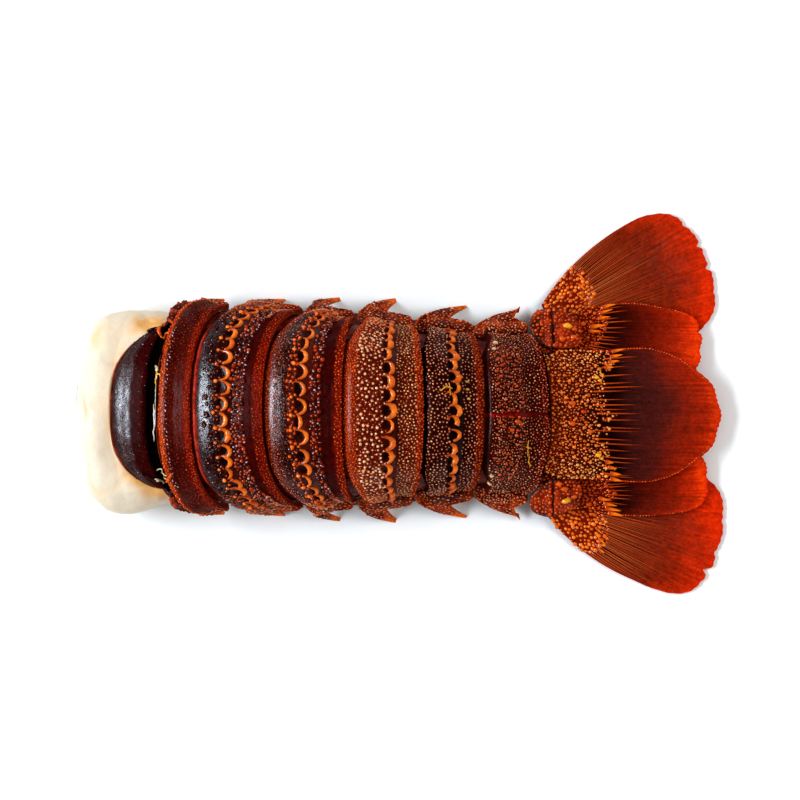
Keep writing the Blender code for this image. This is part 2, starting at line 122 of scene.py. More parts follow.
# The meat: where it begins and reaches its full width, how far it lies under the body's surface in its bare,
# covered and hidden parts, its rings of points, and the floor under it.
MEAT_FRONT = -85.4
MEAT_SHOULDER = -75.5
MEAT_BULGE_POWER = 2.9
MEAT_CORE = -62.0
MEAT_UNDER_FACET = -4.3
MEAT_BARE = -1.6
MEAT_SIDE_BULGE = 2.2
MEAT_RIM_GAP = 0.2
MEAT_RIM_DIP = 0.4
MEAT_SINK = -3.1
MEAT_NOSE_Z = 10.0
MEAT_REAR = 34.0
MEAT_STEPS = 240
MEAT_ROWS = 76
MEAT_NOSE_SHARE = 0.012
MEAT_NOSE_RINGS = 14
MEAT_FLOOR_U = (-85.4, -70.0, -60.0, -40.0, -15.0, 6.0, 23.0, 40.0)
MEAT_FLOOR_Z = (0.0, 0.0, 3.4, 7.0, 7.6, 6.8, 5.4, 4.6)

# The skin under the meat, its cross ribs, and the paddles that hang from it.
UNDERSIDE_FRONT = -57.0
UNDERSIDE_REAR = 33.0
UNDERSIDE_GAP = 0.4
UNDERSIDE_SKIN = 0.7
UNDERSIDE_COLUMNS = 49
RIB_X = (-47.0, -28.0, -8.0, 11.0, 26.0)
RIB_DROP = 1.1
RIB_WIDTH = 1.6
SWIMMERET_ROOTS = {"2": -42.0, "3": -24.0, "4": -5.0, "5": 12.0}
SWIMMERET_LENGTH = 14.0
SWIMMERET_WIDTH = 9.0
SWIMMERET_SKIN = 0.8
SWIMMERET_SIDE = 9.5

# The fan: its slope, and the heights, thickness and grid of its blades.
FAN_FRONT = 40.0
FAN_LENGTH = 45.0
FAN_FLOOR = 1.5
FAN_RISE = 13.2
FAN_SPREAD = 22.0
LAYER = 1.5
BLADE = 1.1
BLADE_RIM = 0.45
BASE_LIFT = 0.7
RIM_FROM_TOP = 0.35
FAN_COLUMNS = 129
FAN_ROWS = 97

# Gloss of the faces that don't show, reach of a granule's halo in radii, and tries for each spot scattered.
INNER_GLOSS = 0.5
HALO = 1.25
TRIES = 7

# How finely a blade's colour is streaked across, along and out of it.
RAY_SCALE = (95.0, 5.0, 1.0)

# The middle blade, and the X where its hard base ends.
TELSON_FRONT = 38.3
TELSON_HALF_WIDTH = 16.9
TELSON_CORNER = 63.0
TELSON_TIP = 84.2
TELSON_END_RIPPLE = 0.3
TELSON_BASE_THICKNESS = 3.2
TELSON_HARD_X = 53.4

# The other blades: ends of the base, centre and length of the rays, their angles, how much shorter they are
# at both sides, bulge of the sides, layer of the fan, and nicks in the rim as place, depth and width.
BLADES = {
    "endopod_left": dict(inner=(41.0, 13.8), outer=(41.5, 20.6), hub=(37.9, 16.7), reach=41.3,
                         angles=(-20.0, 13.0), short=(0.16, 0.19), bulge=3.4, layer=0,
                         nicks=((0.36, 0.9, 0.05), (-0.1, 0.4, 0.05))),
    "endopod_right": dict(inner=(41.0, -20.8), outer=(42.0, -24.6), hub=(37.9, -23.7), reach=43.0,
                          angles=(21.0, -10.8), short=(0.16, 0.27), bulge=2.5, layer=0,
                          nicks=((0.2, 0.4, 0.05),)),
    "exopod_left": dict(inner=(41.6, 15.6), outer=(37.0, 25.4), hub=(38.7, 20.9), reach=45.0,
                        angles=(-4.0, 49.0), short=(0.12, 0.19), bulge=2.4, layer=-1,
                        nicks=((0.17, 1.0, 0.03), (-0.14, 1.1, 0.035), (0.5, 0.6, 0.03))),
    "exopod_right": dict(inner=(41.6, -23.4), outer=(38.8, -30.4), hub=(39.8, -25.9), reach=45.7,
                         angles=(10.0, -43.5), short=(0.13, 0.31), bulge=2.0, layer=-1,
                         nicks=((0.3, 1.9, 0.035), (0.05, 0.5, 0.04), (-0.35, 0.4, 0.05))),
}

# Rows of the limb plates: X, Y of the inner edge and Y of the outer edge.
LIMB_PLATES = {
    "protopod_left": (
        (33.9, 19.2, 21.2), (34.8, 17.6, 23.0), (36.4, 16.2, 24.1), (39.0, 14.2, 24.4),
        (41.6, 14.0, 24.0), (44.2, 14.0, 23.2), (46.2, 14.5, 21.7), (47.4, 15.8, 19.4),
    ),
    "protopod_right": (
        (33.9, -25.8, -27.8), (34.8, -24.2, -29.0), (36.4, -22.6, -29.9), (39.0, -20.8, -30.4),
        (41.6, -20.6, -29.8), (44.2, -20.6, -28.7), (46.2, -21.1, -27.2), (47.4, -22.2, -25.2),
    ),
}
LIMB_PLATE_LIFT = 2.45
LIMB_PLATE_EDGE = 0.7
LIMB_PLATE_DOME = 1.7
LIMB_PLATE_DROP = 2.0
LIMB_ROOT_DROP = 3.0
LIMB_STEPS = 64

# Along each segment's back: the photograph's pixel on the midline, the sRGB tone there and how glossy it is.
BANDS = {
    "tergite_1": (
        (110, (206, 92, 30), 0.6), (112.5, (120, 42, 18), 1.0), (113.6, (54, 13, 10), 1.8),
        (126, (58, 13, 10), 1.8), (131, (60, 11, 9), 0.12), (143, (68, 11, 8), 0.1),
        # The near-black stops from pixel 147 to 158 are painted shade in the groove before the first ridge.
        (147, (16, 5, 4), 0.02), (158, (16, 5, 4), 0.0), (159, (120, 44, 16), 0.2),
        (160.5, (170, 68, 22), 0.5), (162.5, (150, 56, 18), 0.5), (165, (82, 22, 12), 0.9),
        (172, (84, 23, 13), 0.3), (181, (84, 20, 11), 0.15), (184, (108, 23, 8), 0.05),
        (191, (116, 28, 9), 0.1),
    ),
    "tergite_2": (
        # The pinkish stop at pixel 194 is a painted highlight on the second segment's front rim.
        (191, (160, 36, 20), 0.6), (194, (186, 84, 66), 1.0), (196, (150, 38, 18), 1.0),
        (198, (52, 18, 18), 1.7), (212, (56, 18, 15), 1.9), (218, (70, 22, 14), 1.0),
        (229, (84, 30, 19), 1.0), (241, (82, 28, 20), 0.6), (244, (68, 13, 9), 0.1),
        (252, (78, 16, 9), 0.1), (254, (102, 19, 8), 0.05), (260, (108, 23, 8), 0.05),
        (263, (130, 36, 11), 0.2),
    ),
    "tergite_3": (
        (264, (112, 31, 13), 1.0), (270, (84, 24, 14), 1.7), (278, (50, 17, 14), 1.9),
        (290, (56, 19, 13), 1.0), (300, (84, 28, 16), 1.0), (308, (98, 36, 24), 0.8),
        (317, (84, 22, 15), 0.4), (320, (66, 12, 9), 0.2), (332, (74, 14, 9), 0.2),
        (335, (112, 24, 9), 0.1), (340, (122, 28, 9), 0.1), (343, (144, 44, 14), 0.3),
    ),
    "tergite_4": (
        (343, (150, 54, 18), 0.5), (351, (138, 48, 17), 0.8), (357, (98, 30, 14), 0.8),
        (380, (88, 26, 13), 0.8), (416, (84, 26, 15), 0.6), (418, (122, 36, 12), 0.4),
        (424, (112, 32, 11), 0.2),
    ),
    "tergite_5": (
        (424, (42, 12, 10), 0.1), (432, (46, 15, 14), 0.2), (445, (48, 15, 13), 0.8),
        (461, (40, 12, 11), 0.4), (475, (50, 14, 11), 0.3), (478, (94, 26, 11), 0.3),
        (484, (90, 25, 11), 0.2),
    ),
    "tergite_6": (
        (484, (80, 23, 14), 0.3), (489, (74, 22, 14), 0.5), (500, (74, 22, 13), 0.8),
        # The near-black stop at pixel 550 is painted shadow at the gap before the middle blade.
        (527, (72, 21, 13), 0.4), (547, (86, 20, 10), 0.3), (550, (20, 7, 6), 0.0),
    ),
}

# Named sRGB tones.
TONES = {
    "orange": (222, 104, 30),
    "bright": (250, 142, 54),
    "rust": (184, 70, 24),
    "red": (170, 44, 16),
    "cream": (230, 176, 134),
    "olive": (206, 176, 104),
    "yellow": (240, 172, 58),
    "pink": (196, 120, 100),
    "pale": (234, 198, 160),
    # The painted_glint tone is a pale bluish-white painted highlight: specks in it stand for wet glints.
    "painted_glint": (206, 206, 220),
    "ray": (206, 122, 70),
    "maroon": (60, 20, 15),
    "dark": (24, 10, 9),
    "inner": (130, 62, 34),
    "tissue": (226, 208, 172),
    "meat": (224, 210, 190),
    "crease": (226, 172, 104),
    "shell halo": (150, 58, 20),
    # The hollow tone is near-black painted shade for the insides of the half rings.
    "hollow": (14, 6, 5),
    "seam": (150, 20, 16),
    "plate edge": (206, 92, 32),
    "plate tip": (238, 122, 38),
    "ring end": (140, 44, 14),
    "blade halo": (168, 64, 20),
    "blade rim": (200, 48, 12),
    "rib end": (110, 40, 18),
    "spine tip": (250, 136, 30),
    "telson fleck": (246, 190, 120),
    "limb inside": (150, 62, 26),
    "belly rib": (190, 74, 28),
}

# Tones that follow noise, or the way along a blade's underside: stops of a value and the sRGB tone there.
RAMPS = {
    "flank": ((-0.5, (70, 24, 14)), (0.1, (104, 36, 18)), (0.6, (136, 50, 22))),
    "side plate": ((-0.5, (84, 27, 14)), (0.1, (148, 54, 22)), (0.6, (194, 82, 32))),
    "joint skin": ((-0.5, (56, 15, 11)), (0.2, (122, 30, 16)), (0.7, (168, 52, 22))),
    "root skin": ((-0.5, (50, 16, 10)), (0.1, (110, 36, 16)), (0.6, (160, 58, 22))),
    "scrap": ((-0.5, (40, 14, 10)), (0.1, (96, 32, 20)), (0.6, (196, 82, 36))),
    "blade below": ((0.0, (130, 56, 24)), (0.6, (122, 34, 12)), (1.0, (196, 56, 10))),
    "limb plate": ((-0.5, (84, 26, 12)), (0.1, (150, 50, 18)), (0.7, (200, 78, 26))),
    "belly": ((-0.5, (196, 120, 70)), (0.1, (226, 176, 120)), (0.6, (238, 206, 160))),
    "paddle": ((-0.4, (168, 66, 26)), (0.3, (214, 120, 56)), (0.9, (236, 178, 104))),
}


# Numbers and noise

def smooth_curve(stations, values, at):
    """A smooth line through the stations' values, with each slope taken from its neighbours."""
    stations, values = np.asarray(stations, float), np.asarray(values, float)
    slopes = np.gradient(values, stations)
    at = np.clip(at, stations[0], stations[-1])
    i = np.clip(np.searchsorted(stations, at) - 1, 0, len(stations) - 2)
    span = stations[i + 1] - stations[i]
    t = (at - stations[i]) / span
    return (
        (2 * t**3 - 3 * t**2 + 1) * values[i]
        + (t**3 - 2 * t**2 + t) * span * slopes[i]
        + (3 * t**2 - 2 * t**3) * values[i + 1]
        + (t**3 - t**2) * span * slopes[i + 1]
    )


def smoothstep(low, high, value):
    """From 0 at low to 1 at high, with soft ends."""
    t = np.clip((value - low) / (high - low), 0.0, 1.0)
    return t * t * (3 - 2 * t)


def hump(value, centre, width):
    """One at the centre, falling off to both sides."""
    return np.exp(-(((value - centre) / width) ** 2))


def hashed(cell, seed):
    """A number from 0 to 1 for each cell of whole numbers."""
    x, y, z = cell[..., 0], cell[..., 1], cell[..., 2]
    bits = ((x * 73856093) ^ (y * 19349663) ^ (z * 83492791) ^ (seed * 2654435)) & 0xFFFFFFFF
    for turn, factor in ((15, 2246822519), (13, 3266489917)):
        bits = ((bits ^ (bits >> turn)) * factor) & 0xFFFFFFFF
    return ((bits ^ (bits >> 16)) & 0xFFFFFF) / float(0xFFFFFF)


def noise(points, size, seed, octaves=1):
    """Smooth noise from -1 to 1 at points, whose coarsest lumps are about size across."""
    total, weight, full = 0.0, 1.0, 0.0
    for octave in range(octaves):
        place = np.asarray(points) / (size * 0.5**octave) + 11.7 * octave
        cell = np.floor(place).astype(np.int64)
        part = place - cell
        part = part * part * (3 - 2 * part)
        value = 0.0
        for corner in np.ndindex(2, 2, 2):
            share = np.prod(np.where(corner, part, 1 - part), axis=-1)
            value = value + share * hashed(cell + np.array(corner), SEED + 31 * seed + octave)
        total = total + weight * (2 * value - 1)
        full += weight
        weight *= 0.5
    return total / full


def linear(tone):
    """A tone in 0 to 255 sRGB as linear colour."""
    tone = np.asarray(tone, float) / 255
    return np.where(tone <= 0.04045, tone / 12.92, ((tone + 0.055) / 1.055) ** 2.4)


def toned(name):
    """A named tone as linear colour."""
    return linear(TONES[name])


def ramp(value, stops):
    """Linear colours at value, between stops of (value, sRGB tone)."""
    places = [stop[0] for stop in stops]
    tones = linear([stop[1] for stop in stops])
    return np.stack([np.interp(value, places, tones[:, k]) for k in range(3)], axis=-1)


def mixed(base, over, share):
    """Colours between base and over."""
    share = np.asarray(share)[..., None]
    return base * (1 - share) + np.asarray(over) * share


def stacked(*parts):
    """Points from their coordinates, each spread over the same grid."""
    return np.stack(np.broadcast_arrays(*parts), axis=-1)


def plan_x(pixel):
    """The plan's X at one of the photograph's pixels across."""
    return (pixel - PIXEL_X) * PIXEL


def plan_y(pixel):
    """The plan's Y at one of the photograph's pixels down."""
    return (PIXEL_Y - pixel) * PIXEL


def pixel_at(x):
    """The photograph's pixel across at the plan's X."""
    return x / PIXEL + PIXEL_X


def spot_share(points, pixel_x, pixel_y, size):
    """One at a pixel, falling off around it over size in millimetres."""
    away = (points[..., 0] - plan_x(pixel_x)) ** 2 + (points[..., 1] - plan_y(pixel_y)) ** 2
    return np.exp(-away / size**2)


# The body's form

def body(u):
    """Half width, back height, side height and lean of the section at midline station u."""
    return [smooth_curve(BODY_STATIONS[:, 0], BODY_STATIONS[:, k], u) for k in (1, 2, 3, 4)]


def midline(x):
    """Y of the tail's slightly bent middle line."""
    return smooth_curve(MIDLINE_X, MIDLINE_Y, x)


def arch_point(u, angle, side, offset):
    """A point of the arched body surface, moved outwards by offset."""
    width, back, spring, lean = body(u)
    across = np.sin(angle) ** (2 / SECTION_POWER)
    up = np.abs(np.cos(angle)) ** (2 / SECTION_POWER)
    x = u + lean * (1 - up)
    y = side * (width * across + offset * np.sin(angle))
    z = spring + (back - spring) * up + offset * np.cos(angle)
    return x, y, z


def fan_height(x, y):
    """Height of the fan's middle layer: high beside the last segment, and near the floor at its edge."""
    run = np.clip((x - FAN_FRONT) / FAN_LENGTH, -0.2, 1.0)
    off = np.abs(y - midline(x))
    return FAN_FLOOR + FAN_RISE * (1 - run) ** 1.25 * np.exp(-((off / FAN_SPREAD) ** 3.2))


def frame_shift():
    """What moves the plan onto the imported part: its origin is the middle of the tail's footprint."""
    tip_x = TELSON_TIP + TELSON_END_RIPPLE
    tip_y = float(midline(tip_x))
    top_z = float(fan_height(np.array(tip_x), np.array(tip_y))) + LAYER + BLADE
    corners = np.array([vertex.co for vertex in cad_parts["telson"].data.vertices]) / MM
    tip = corners[np.lexsort((-corners[:, 2], -np.round(corners[:, 0], 2)))[0]]
    return tip - np.array([tip_x, tip_y, top_z])


SHIFT = frame_shift()


# Meshes

def add_mesh(name, points, faces, tints, finish, node=None, sharp=55.0, uv=None, gloss=None):
    """A mesh piece in millimetres: each array of faces has faces of one size, and tints go by vertex."""
    points = np.asarray(points, float)
    volume = 0.0
    for group in faces:
        for k in range(1, group.shape[1] - 1):
            a, b, c = points[group[:, 0]], points[group[:, k]], points[group[:, k + 1]]
            volume += np.einsum("ij,ij->i", a, np.cross(b, c)).sum()
    if volume < 0:
        faces = [group[:, ::-1] for group in faces]
    counts = np.concatenate([np.full(len(group), group.shape[1]) for group in faces])
    corners = np.concatenate([group.ravel() for group in faces])
    mesh = bpy.data.meshes.new(name)
    mesh.vertices.add(len(points))
    placed = (points + SHIFT) * MM
    placed[:, 2] = np.maximum(placed[:, 2], 0.0)
    mesh.vertices.foreach_set("co", placed.astype(np.float32).ravel())
    mesh.loops.add(len(corners))
    mesh.loops.foreach_set("vertex_index", corners.astype(np.int32))
    mesh.polygons.add(len(counts))
    mesh.polygons.foreach_set("loop_start", np.concatenate([[0], np.cumsum(counts)[:-1]]).astype(np.int32))
    mesh.update(calc_edges=True)
    mesh.shade_smooth()
    if sharp:
        mesh.set_sharp_from_angle(angle=math.radians(sharp))
    colour = mesh.color_attributes.new(name="tint", type="FLOAT_COLOR", domain="POINT")
    alpha = np.ones(len(points)) if gloss is None else gloss
    rgba = np.concatenate([np.clip(tints, 0.0, 1.0), alpha[:, None]], axis=1)
    colour.data.foreach_set("color", rgba.astype(np.float32).ravel())
    if uv is not None:
        layer = mesh.uv_layers.new(name="rays")
        layer.data.foreach_set("uv", uv[corners].astype(np.float32).ravel())
    mesh.materials.append(finish)
    made = bpy.data.objects.new(name, mesh)
    bpy.context.scene.collection.objects.link(made)
    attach(made, "root")
    if node:
        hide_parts(node)
    return made


def add_sheet(name, fine, coarse, fine_tints, coarse_tints, finish, node, uv=None, gloss=None):
    """A sheet solid: a fine grid of points that shows, and a grid with fewer rows on its other side."""
    points = np.concatenate([fine.reshape(-1, 3), coarse.reshape(-1, 3)])
    tints = np.concatenate([fine_tints.reshape(-1, 3), coarse_tints.reshape(-1, 3)])
    if gloss is not None:
        gloss = np.concatenate([gloss.ravel(), np.full(coarse.size // 3, INNER_GLOSS)])
    faces = sheet_faces(*fine.shape[:2], ROW_GROUP)
    return add_mesh(name, points, faces, tints, finish, node, uv=uv, gloss=gloss)


def grid_quads(rows, columns, start):
    """Quads of a grid of vertices that begins at start."""
    a = (np.arange(rows - 1)[:, None] * columns + np.arange(columns - 1)[None, :]).ravel() + start
    return np.stack([a, a + 1, a + columns + 1, a + columns], axis=1)


def sheet_faces(rows, columns, group):
    """Faces of a sheet solid: a fine grid, a coarse one with every group-th row, and the rim between."""
    coarse = (rows - 1) // group + 1
    fine, low = grid_quads(rows, columns, 0), grid_quads(coarse, columns, rows * columns)
    rim = []
    for end, other in ((0, 0), (rows - 1, coarse - 1)):
        j = np.arange(columns - 1)
        top, bottom = end * columns + j, rows * columns + other * columns + j
        quad = np.stack([top, bottom, bottom + 1, top + 1], axis=1)
        rim.append(quad if end == 0 else quad[:, ::-1])
    sides = []
    for edge in (0, columns - 1):
        for k in range(coarse - 1):
            tops = [(k * group + i) * columns + edge for i in range(group + 1)]
            bottom = rows * columns + k * columns + edge
            fan = [(bottom, tops[i], tops[i + 1]) for i in range(group)]
            fan.append((bottom, tops[-1], bottom + columns))
            sides += [face[::-1] if edge else face for face in fan]
    return [fine, low[:, ::-1], *rim, np.array(sides)]


class Skin:
    """A fine grid of surface points with its outward directions, and the millimetres along and across it."""

    def __init__(self, points, rows):
        self.rows = rows
        self.arc = self.lengths(points)
        self.shape(points)

    @staticmethod
    def lengths(points):
        """Distance across from the middle column, measured along the middle row."""
        step = np.linalg.norm(np.diff(points[len(points) // 2], axis=0), axis=1)
        run = np.concatenate([[0.0], np.cumsum(step)])
        return run - run[len(run) // 2]

    def shape(self, points):
        """Takes points as the surface and finds its directions and areas."""
        self.points = points
        self.along, self.across = np.gradient(points, axis=0), np.gradient(points, axis=1)
        normal = np.cross(self.along, self.across)
        self.area = np.linalg.norm(normal, axis=-1)
        self.normal = normal / np.maximum(self.area, 1e-9)[..., None]
        if self.normal[..., 2].mean() < 0:
            self.normal = -self.normal

    def raise_by(self, relief):
        """Moves the surface outwards by a relief in millimetres."""
        self.shape(self.points + self.normal * relief[..., None])

    def spots(self, row, column):
        """Places, outward directions and directions along at fractions of rows and columns."""
        i = np.clip(np.floor(row).astype(int), 0, self.points.shape[0] - 2)
        j = np.clip(np.floor(column).astype(int), 0, self.points.shape[1] - 2)
        s, t = (row - i)[:, None], (column - j)[:, None]

        def between(grid):
            near = grid[i, j] * (1 - t) + grid[i, j + 1] * t
            far = grid[i + 1, j] * (1 - t) + grid[i + 1, j + 1] * t
            return near * (1 - s) + far * s

        place, normal, along = between(self.points), between(self.normal), between(self.along)
        normal = normal / np.linalg.norm(normal, axis=1)[:, None]
        along = along - normal * np.einsum("ij,ij->i", along, normal)[:, None]
        along = along / np.linalg.norm(along, axis=1)[:, None]
        return dict(place=place, normal=normal, along=along, row=row, column=column)

    def at(self, station, arc):
        """Spots at values of the rows' and the columns' own measures."""
        row = np.interp(station, self.rows, np.arange(len(self.rows)))
        column = np.interp(arc, self.arc, np.arange(len(self.arc)))
        return self.spots(row, column)

    def glow(self, field, spots, radius):
        """Raises a field of the grid towards one around each spot."""
        row_size = np.linalg.norm(self.along, axis=-1)
        column_size = np.linalg.norm(self.across, axis=-1)
        near_row = np.round(spots["row"]).astype(int)
        near_column = np.round(spots["column"]).astype(int)
        for down in range(-3, 4):
            for over in range(-3, 4):
                i = np.clip(near_row + down, 0, field.shape[0] - 1)
                j = np.clip(near_column + over, 0, field.shape[1] - 1)
                rows_off = (i - spots["row"]) * row_size[i, j]
                columns_off = (j - spots["column"]) * column_size[i, j]
                away = np.hypot(rows_off, columns_off)
                np.maximum.at(field, (i, j), np.exp(-((away / (HALO * radius)) ** 2)))

    def near(self, pixel_x, pixel_y):
        """The row and column whose place lies nearest to a pixel, seen from above."""
        away = np.hypot(self.points[..., 0] - plan_x(pixel_x), self.points[..., 1] - plan_y(pixel_y))
        return np.unravel_index(away.argmin(), away.shape)

    def scatter(self, mask, pitch, rng):
        """Spots spread by area where mask is high, none nearer to another than pitch."""
        weight = (self.area * mask)[:-1, :-1]
        total = weight.sum()
        if total <= 0:
            return self.spots(np.zeros(0), np.zeros(0))
        tries = int(total / pitch**2 * TRIES) + 1
        cell = rng.choice(weight.size, size=tries, p=(weight / total).ravel())
        row = cell // weight.shape[1] + rng.random(tries)
        column = cell % weight.shape[1] + rng.random(tries)
        places = self.spots(row, column)["place"]
        kept, buckets = [], {}
        keys = np.floor(places / pitch).astype(int)
        near = [(a, b, c) for a in (-1, 0, 1) for b in (-1, 0, 1) for c in (-1, 0, 1)]
        for k in range(tries):
            x, y, z = keys[k]
            around = [q for a, b, c in near for q in buckets.get((x + a, y + b, z + c), ())]
            if all(np.dot(places[k] - places[q], places[k] - places[q]) >= pitch**2 for q in around):
                kept.append(k)
                buckets.setdefault((x, y, z), []).append(k)
        return self.spots(row[kept], column[kept])


def strip_faces(rings, sides):
    """Triangles between rings of points, each ring with the same number of sides."""
    faces = []
    for ring in range(rings - 1):
        for k in range(sides):
            a, b = ring * sides + k, ring * sides + (k + 1) % sides
            faces += [(a, b, b + sides), (a, b + sides, a + sides)]
    return faces


def dome_form(big, pit):
    """Points, faces and painted light of one closed dome: fewer points where it is small."""
    sides, rings = 5, ((1.0, -0.3), (0.68, 0.66))
    if big:
        sides, rings = 8, ((1.0, -0.4), (0.9, 0.4), (0.6, 0.84), (0.3, 1.0 - 0.8 * pit))
    turn = 2 * math.pi * np.arange(sides) / sides
    form = [(r * math.cos(t), r * math.sin(t), z) for r, z in rings for t in turn]
    form = np.array(form + [(0, 0, 1.05 - pit), (0, 0, rings[0][1])])
    faces = strip_faces(len(rings), sides)
    top, last = len(form) - 2, (len(rings) - 1) * sides
    for k in range(sides):
        faces.append((last + k, last + (k + 1) % sides, top))
        faces.append(((k + 1) % sides, k, top + 1))
    # Painted shade: each dome is painted darker towards its foot, and a pitted top is painted as dark as the
    # foot.
    shade = smoothstep(-0.3, 0.9, form[:, 2])
    if pit:
        shade[last:top + 1] = 0.0
    return form, np.array(faces), shade


class Heap:
    """Small solids gathered into one mesh piece."""

    def __init__(self):
        self.points, self.faces, self.tints, self.count = [], [], [], 0

    def add(self, points, faces, tints):
        """One solid, or many alike, turned to face outwards."""
        a, b, c = (points[faces[:, k]] for k in range(3))
        if np.einsum("ij,ij->i", a, np.cross(b, c)).sum() < 0:
            faces = faces[:, ::-1]
        self.points.append(points)
        self.faces.append(faces + self.count)
        self.tints.append(tints)
        self.count += len(points)

    def domes(self, spots, radius, height, tones, rng, stretch=1.0, pit=0.0, big=False):
        """Low domes on spots; a pit hollows their tops. Radius and tones may differ from spot to spot."""
        count = len(spots["place"])
        if not count:
            return
        form, faces, shade = dome_form(big, pit)
        radius = np.broadcast_to(radius, count)
        spin = rng.random(count) * 0.9 * (stretch < 1.2)
        side = np.cross(spots["normal"], spots["along"])
        long_way = spots["along"] * np.cos(spin)[:, None] + side * np.sin(spin)[:, None]
        short_way = np.cross(spots["normal"], long_way)
        uneven = 1 + 0.1 * rng.standard_normal((count, len(form)))
        size = radius[:, None] * uneven
        points = (
            spots["place"][:, None, :]
            + (size * form[None, :, 0] * stretch)[..., None] * long_way[:, None, :]
            + (size * form[None, :, 1])[..., None] * short_way[:, None, :]
            + (radius[:, None] * height * form[None, :, 2])[..., None] * spots["normal"][:, None, :]
        )
        tones = np.broadcast_to(tones, (count, 3))[:, None, :]
        # The foot's tint is partly the granules' own rust rim and partly painted shade, darker than the top.
        foot = tones * 0.35 + toned("rust") * 0.3
        tints = foot * (1 - shade)[None, :, None] + tones * shade[None, :, None]
        tints = tints * (1 + 0.1 * rng.standard_normal((count, 1, 1)))
        many = (faces[None] + (np.arange(count) * len(form))[:, None, None]).reshape(-1, 3)
        self.add(points.reshape(-1, 3), many, tints.reshape(-1, 3))

    def tube(self, path, normals, wide, high, tints, sides=8):
        """A low rounded strip along a path, wide across and high out of the surface."""
        path, count = np.asarray(path), len(path)
        ahead = np.gradient(path, axis=0)
        ahead /= np.linalg.norm(ahead, axis=1)[:, None]
        side = np.cross(ahead, normals)
        side /= np.linalg.norm(side, axis=1)[:, None]
        turn = 2 * math.pi * np.arange(sides) / sides
        ring = (side[:, None, :] * (np.cos(turn)[None, :] * wide[:, None])[..., None]
                + normals[:, None, :] * (np.sin(turn)[None, :] * high[:, None])[..., None])
        points = (path[:, None, :] + ring).reshape(-1, 3)
        points = np.concatenate([points, path[[0, -1]]])
        faces = strip_faces(count, sides)
        last = (count - 1) * sides
        for k in range(sides):
            faces.append(((k + 1) % sides, k, count * sides))
            faces.append((last + k, last + (k + 1) % sides, count * sides + 1))
        # Painted light: each strip is painted lighter along its top and darker on its sides and underside.
        lit = 0.7 + 0.3 * np.sin(turn)
        body_tints = (tints[:, None, :] * lit[None, :, None]).reshape(-1, 3)
        self.add(points, np.array(faces), np.concatenate([body_tints, tints[[0, -1]]]))

    def sheet(self, upper, lower, tints):
        """A thin solid between two grids of points."""
        groups = sheet_faces(*upper.shape[:2], 1)
        faces = np.concatenate([g[:, [0, k, k + 1]] for g in groups for k in range(1, g.shape[1] - 1)])
        points = np.concatenate([upper.reshape(-1, 3), lower.reshape(-1, 3)])
        self.add(points, faces, np.concatenate([tints.reshape(-1, 3)] * 2))

    def piece(self, name, finish, slot):
        """Makes the heap a piece of the scene."""
        return add_mesh(name, np.concatenate(self.points), [np.concatenate(self.faces)],
                        np.concatenate(self.tints), finish, sharp=0)


# Materials

def node_material(name):
    """A new material with its nodes, its links and its shader."""
    made = bpy.data.materials.new(name)
    made.use_nodes = True
    return made, made.node_tree.nodes, made.node_tree.links, made.node_tree.nodes["Principled BSDF"]


def link_noise(nodes, links, coordinates, size_mm, detail=3.0):
    """A noise node whose lumps are about size_mm across."""
    made = nodes.new("ShaderNodeTexNoise")
    made.inputs["Scale"].default_value = 1.0 / (size_mm * MM)
    made.inputs["Detail"].default_value = detail
    links.new(coordinates, made.inputs["Vector"])
    return made


def ranged(nodes, links, value, low, high, start=0.3, end=0.7):
    """A value from start to end, as a noise's mostly is, carried to the range from low to high."""
    made = nodes.new("ShaderNodeMapRange")
    made.inputs["From Min"].default_value = start
    made.inputs["From Max"].default_value = end
    made.inputs["To Min"].default_value = low
    made.inputs["To Max"].default_value = high
    links.new(value, made.inputs["Value"])
    return made.outputs["Result"]


def product(nodes, links, first, second):
    """Two values multiplied."""
    made = nodes.new("ShaderNodeMath")
    made.operation = "MULTIPLY"
    links.new(first, made.inputs[0])
    links.new(second, made.inputs[1])
    return made.outputs["Value"]


def soften(shader, weight, reach, scale_mm):
    """Lets light pass under the surface: its share, how far each colour reaches, and the scale of that."""
    shader.inputs["Subsurface Weight"].default_value = weight
    shader.inputs["Subsurface Radius"].default_value = reach
    shader.inputs["Subsurface Scale"].default_value = scale_mm * MM


def tinted(name, rough, speck, speck_size, bump, bump_size, gloss=(0.8, 0.03)):
    """A material coloured by the tints and broken by specks, with a fine bump and gloss, less on slopes."""
    made, nodes, links, shader = node_material(name)
    tint = nodes.new("ShaderNodeAttribute")
    tint.attribute_name = "tint"
    place = nodes.new("ShaderNodeTexCoord").outputs["Object"]
    specks = link_noise(nodes, links, place, speck_size)
    bright = nodes.new("ShaderNodeHueSaturation")
    links.new(ranged(nodes, links, specks.outputs["Fac"], 1 - speck, 1 + speck), bright.inputs["Value"])
    links.new(tint.outputs["Color"], bright.inputs["Color"])
    links.new(bright.outputs["Color"], shader.inputs["Base Color"])
    patches = link_noise(nodes, links, place, bump_size * 4)
    links.new(ranged(nodes, links, patches.outputs["Fac"], rough[0], rough[1]), shader.inputs["Roughness"])
    fine = link_noise(nodes, links, place, bump_size)
    relief = nodes.new("ShaderNodeBump")
    relief.inputs["Strength"].default_value = bump
    relief.inputs["Distance"].default_value = bump_size * MM * 0.5
    links.new(fine.outputs["Fac"], relief.inputs["Height"])
    links.new(relief.outputs["Normal"], shader.inputs["Normal"])
    slope = nodes.new("ShaderNodeLayerWeight")
    fall = ranged(nodes, links, slope.outputs["Facing"], gloss[0], gloss[1], start=0.1, end=0.5)
    links.new(product(nodes, links, fall, tint.outputs["Alpha"]), shader.inputs["Specular IOR Level"])
    return made, nodes, links, shader


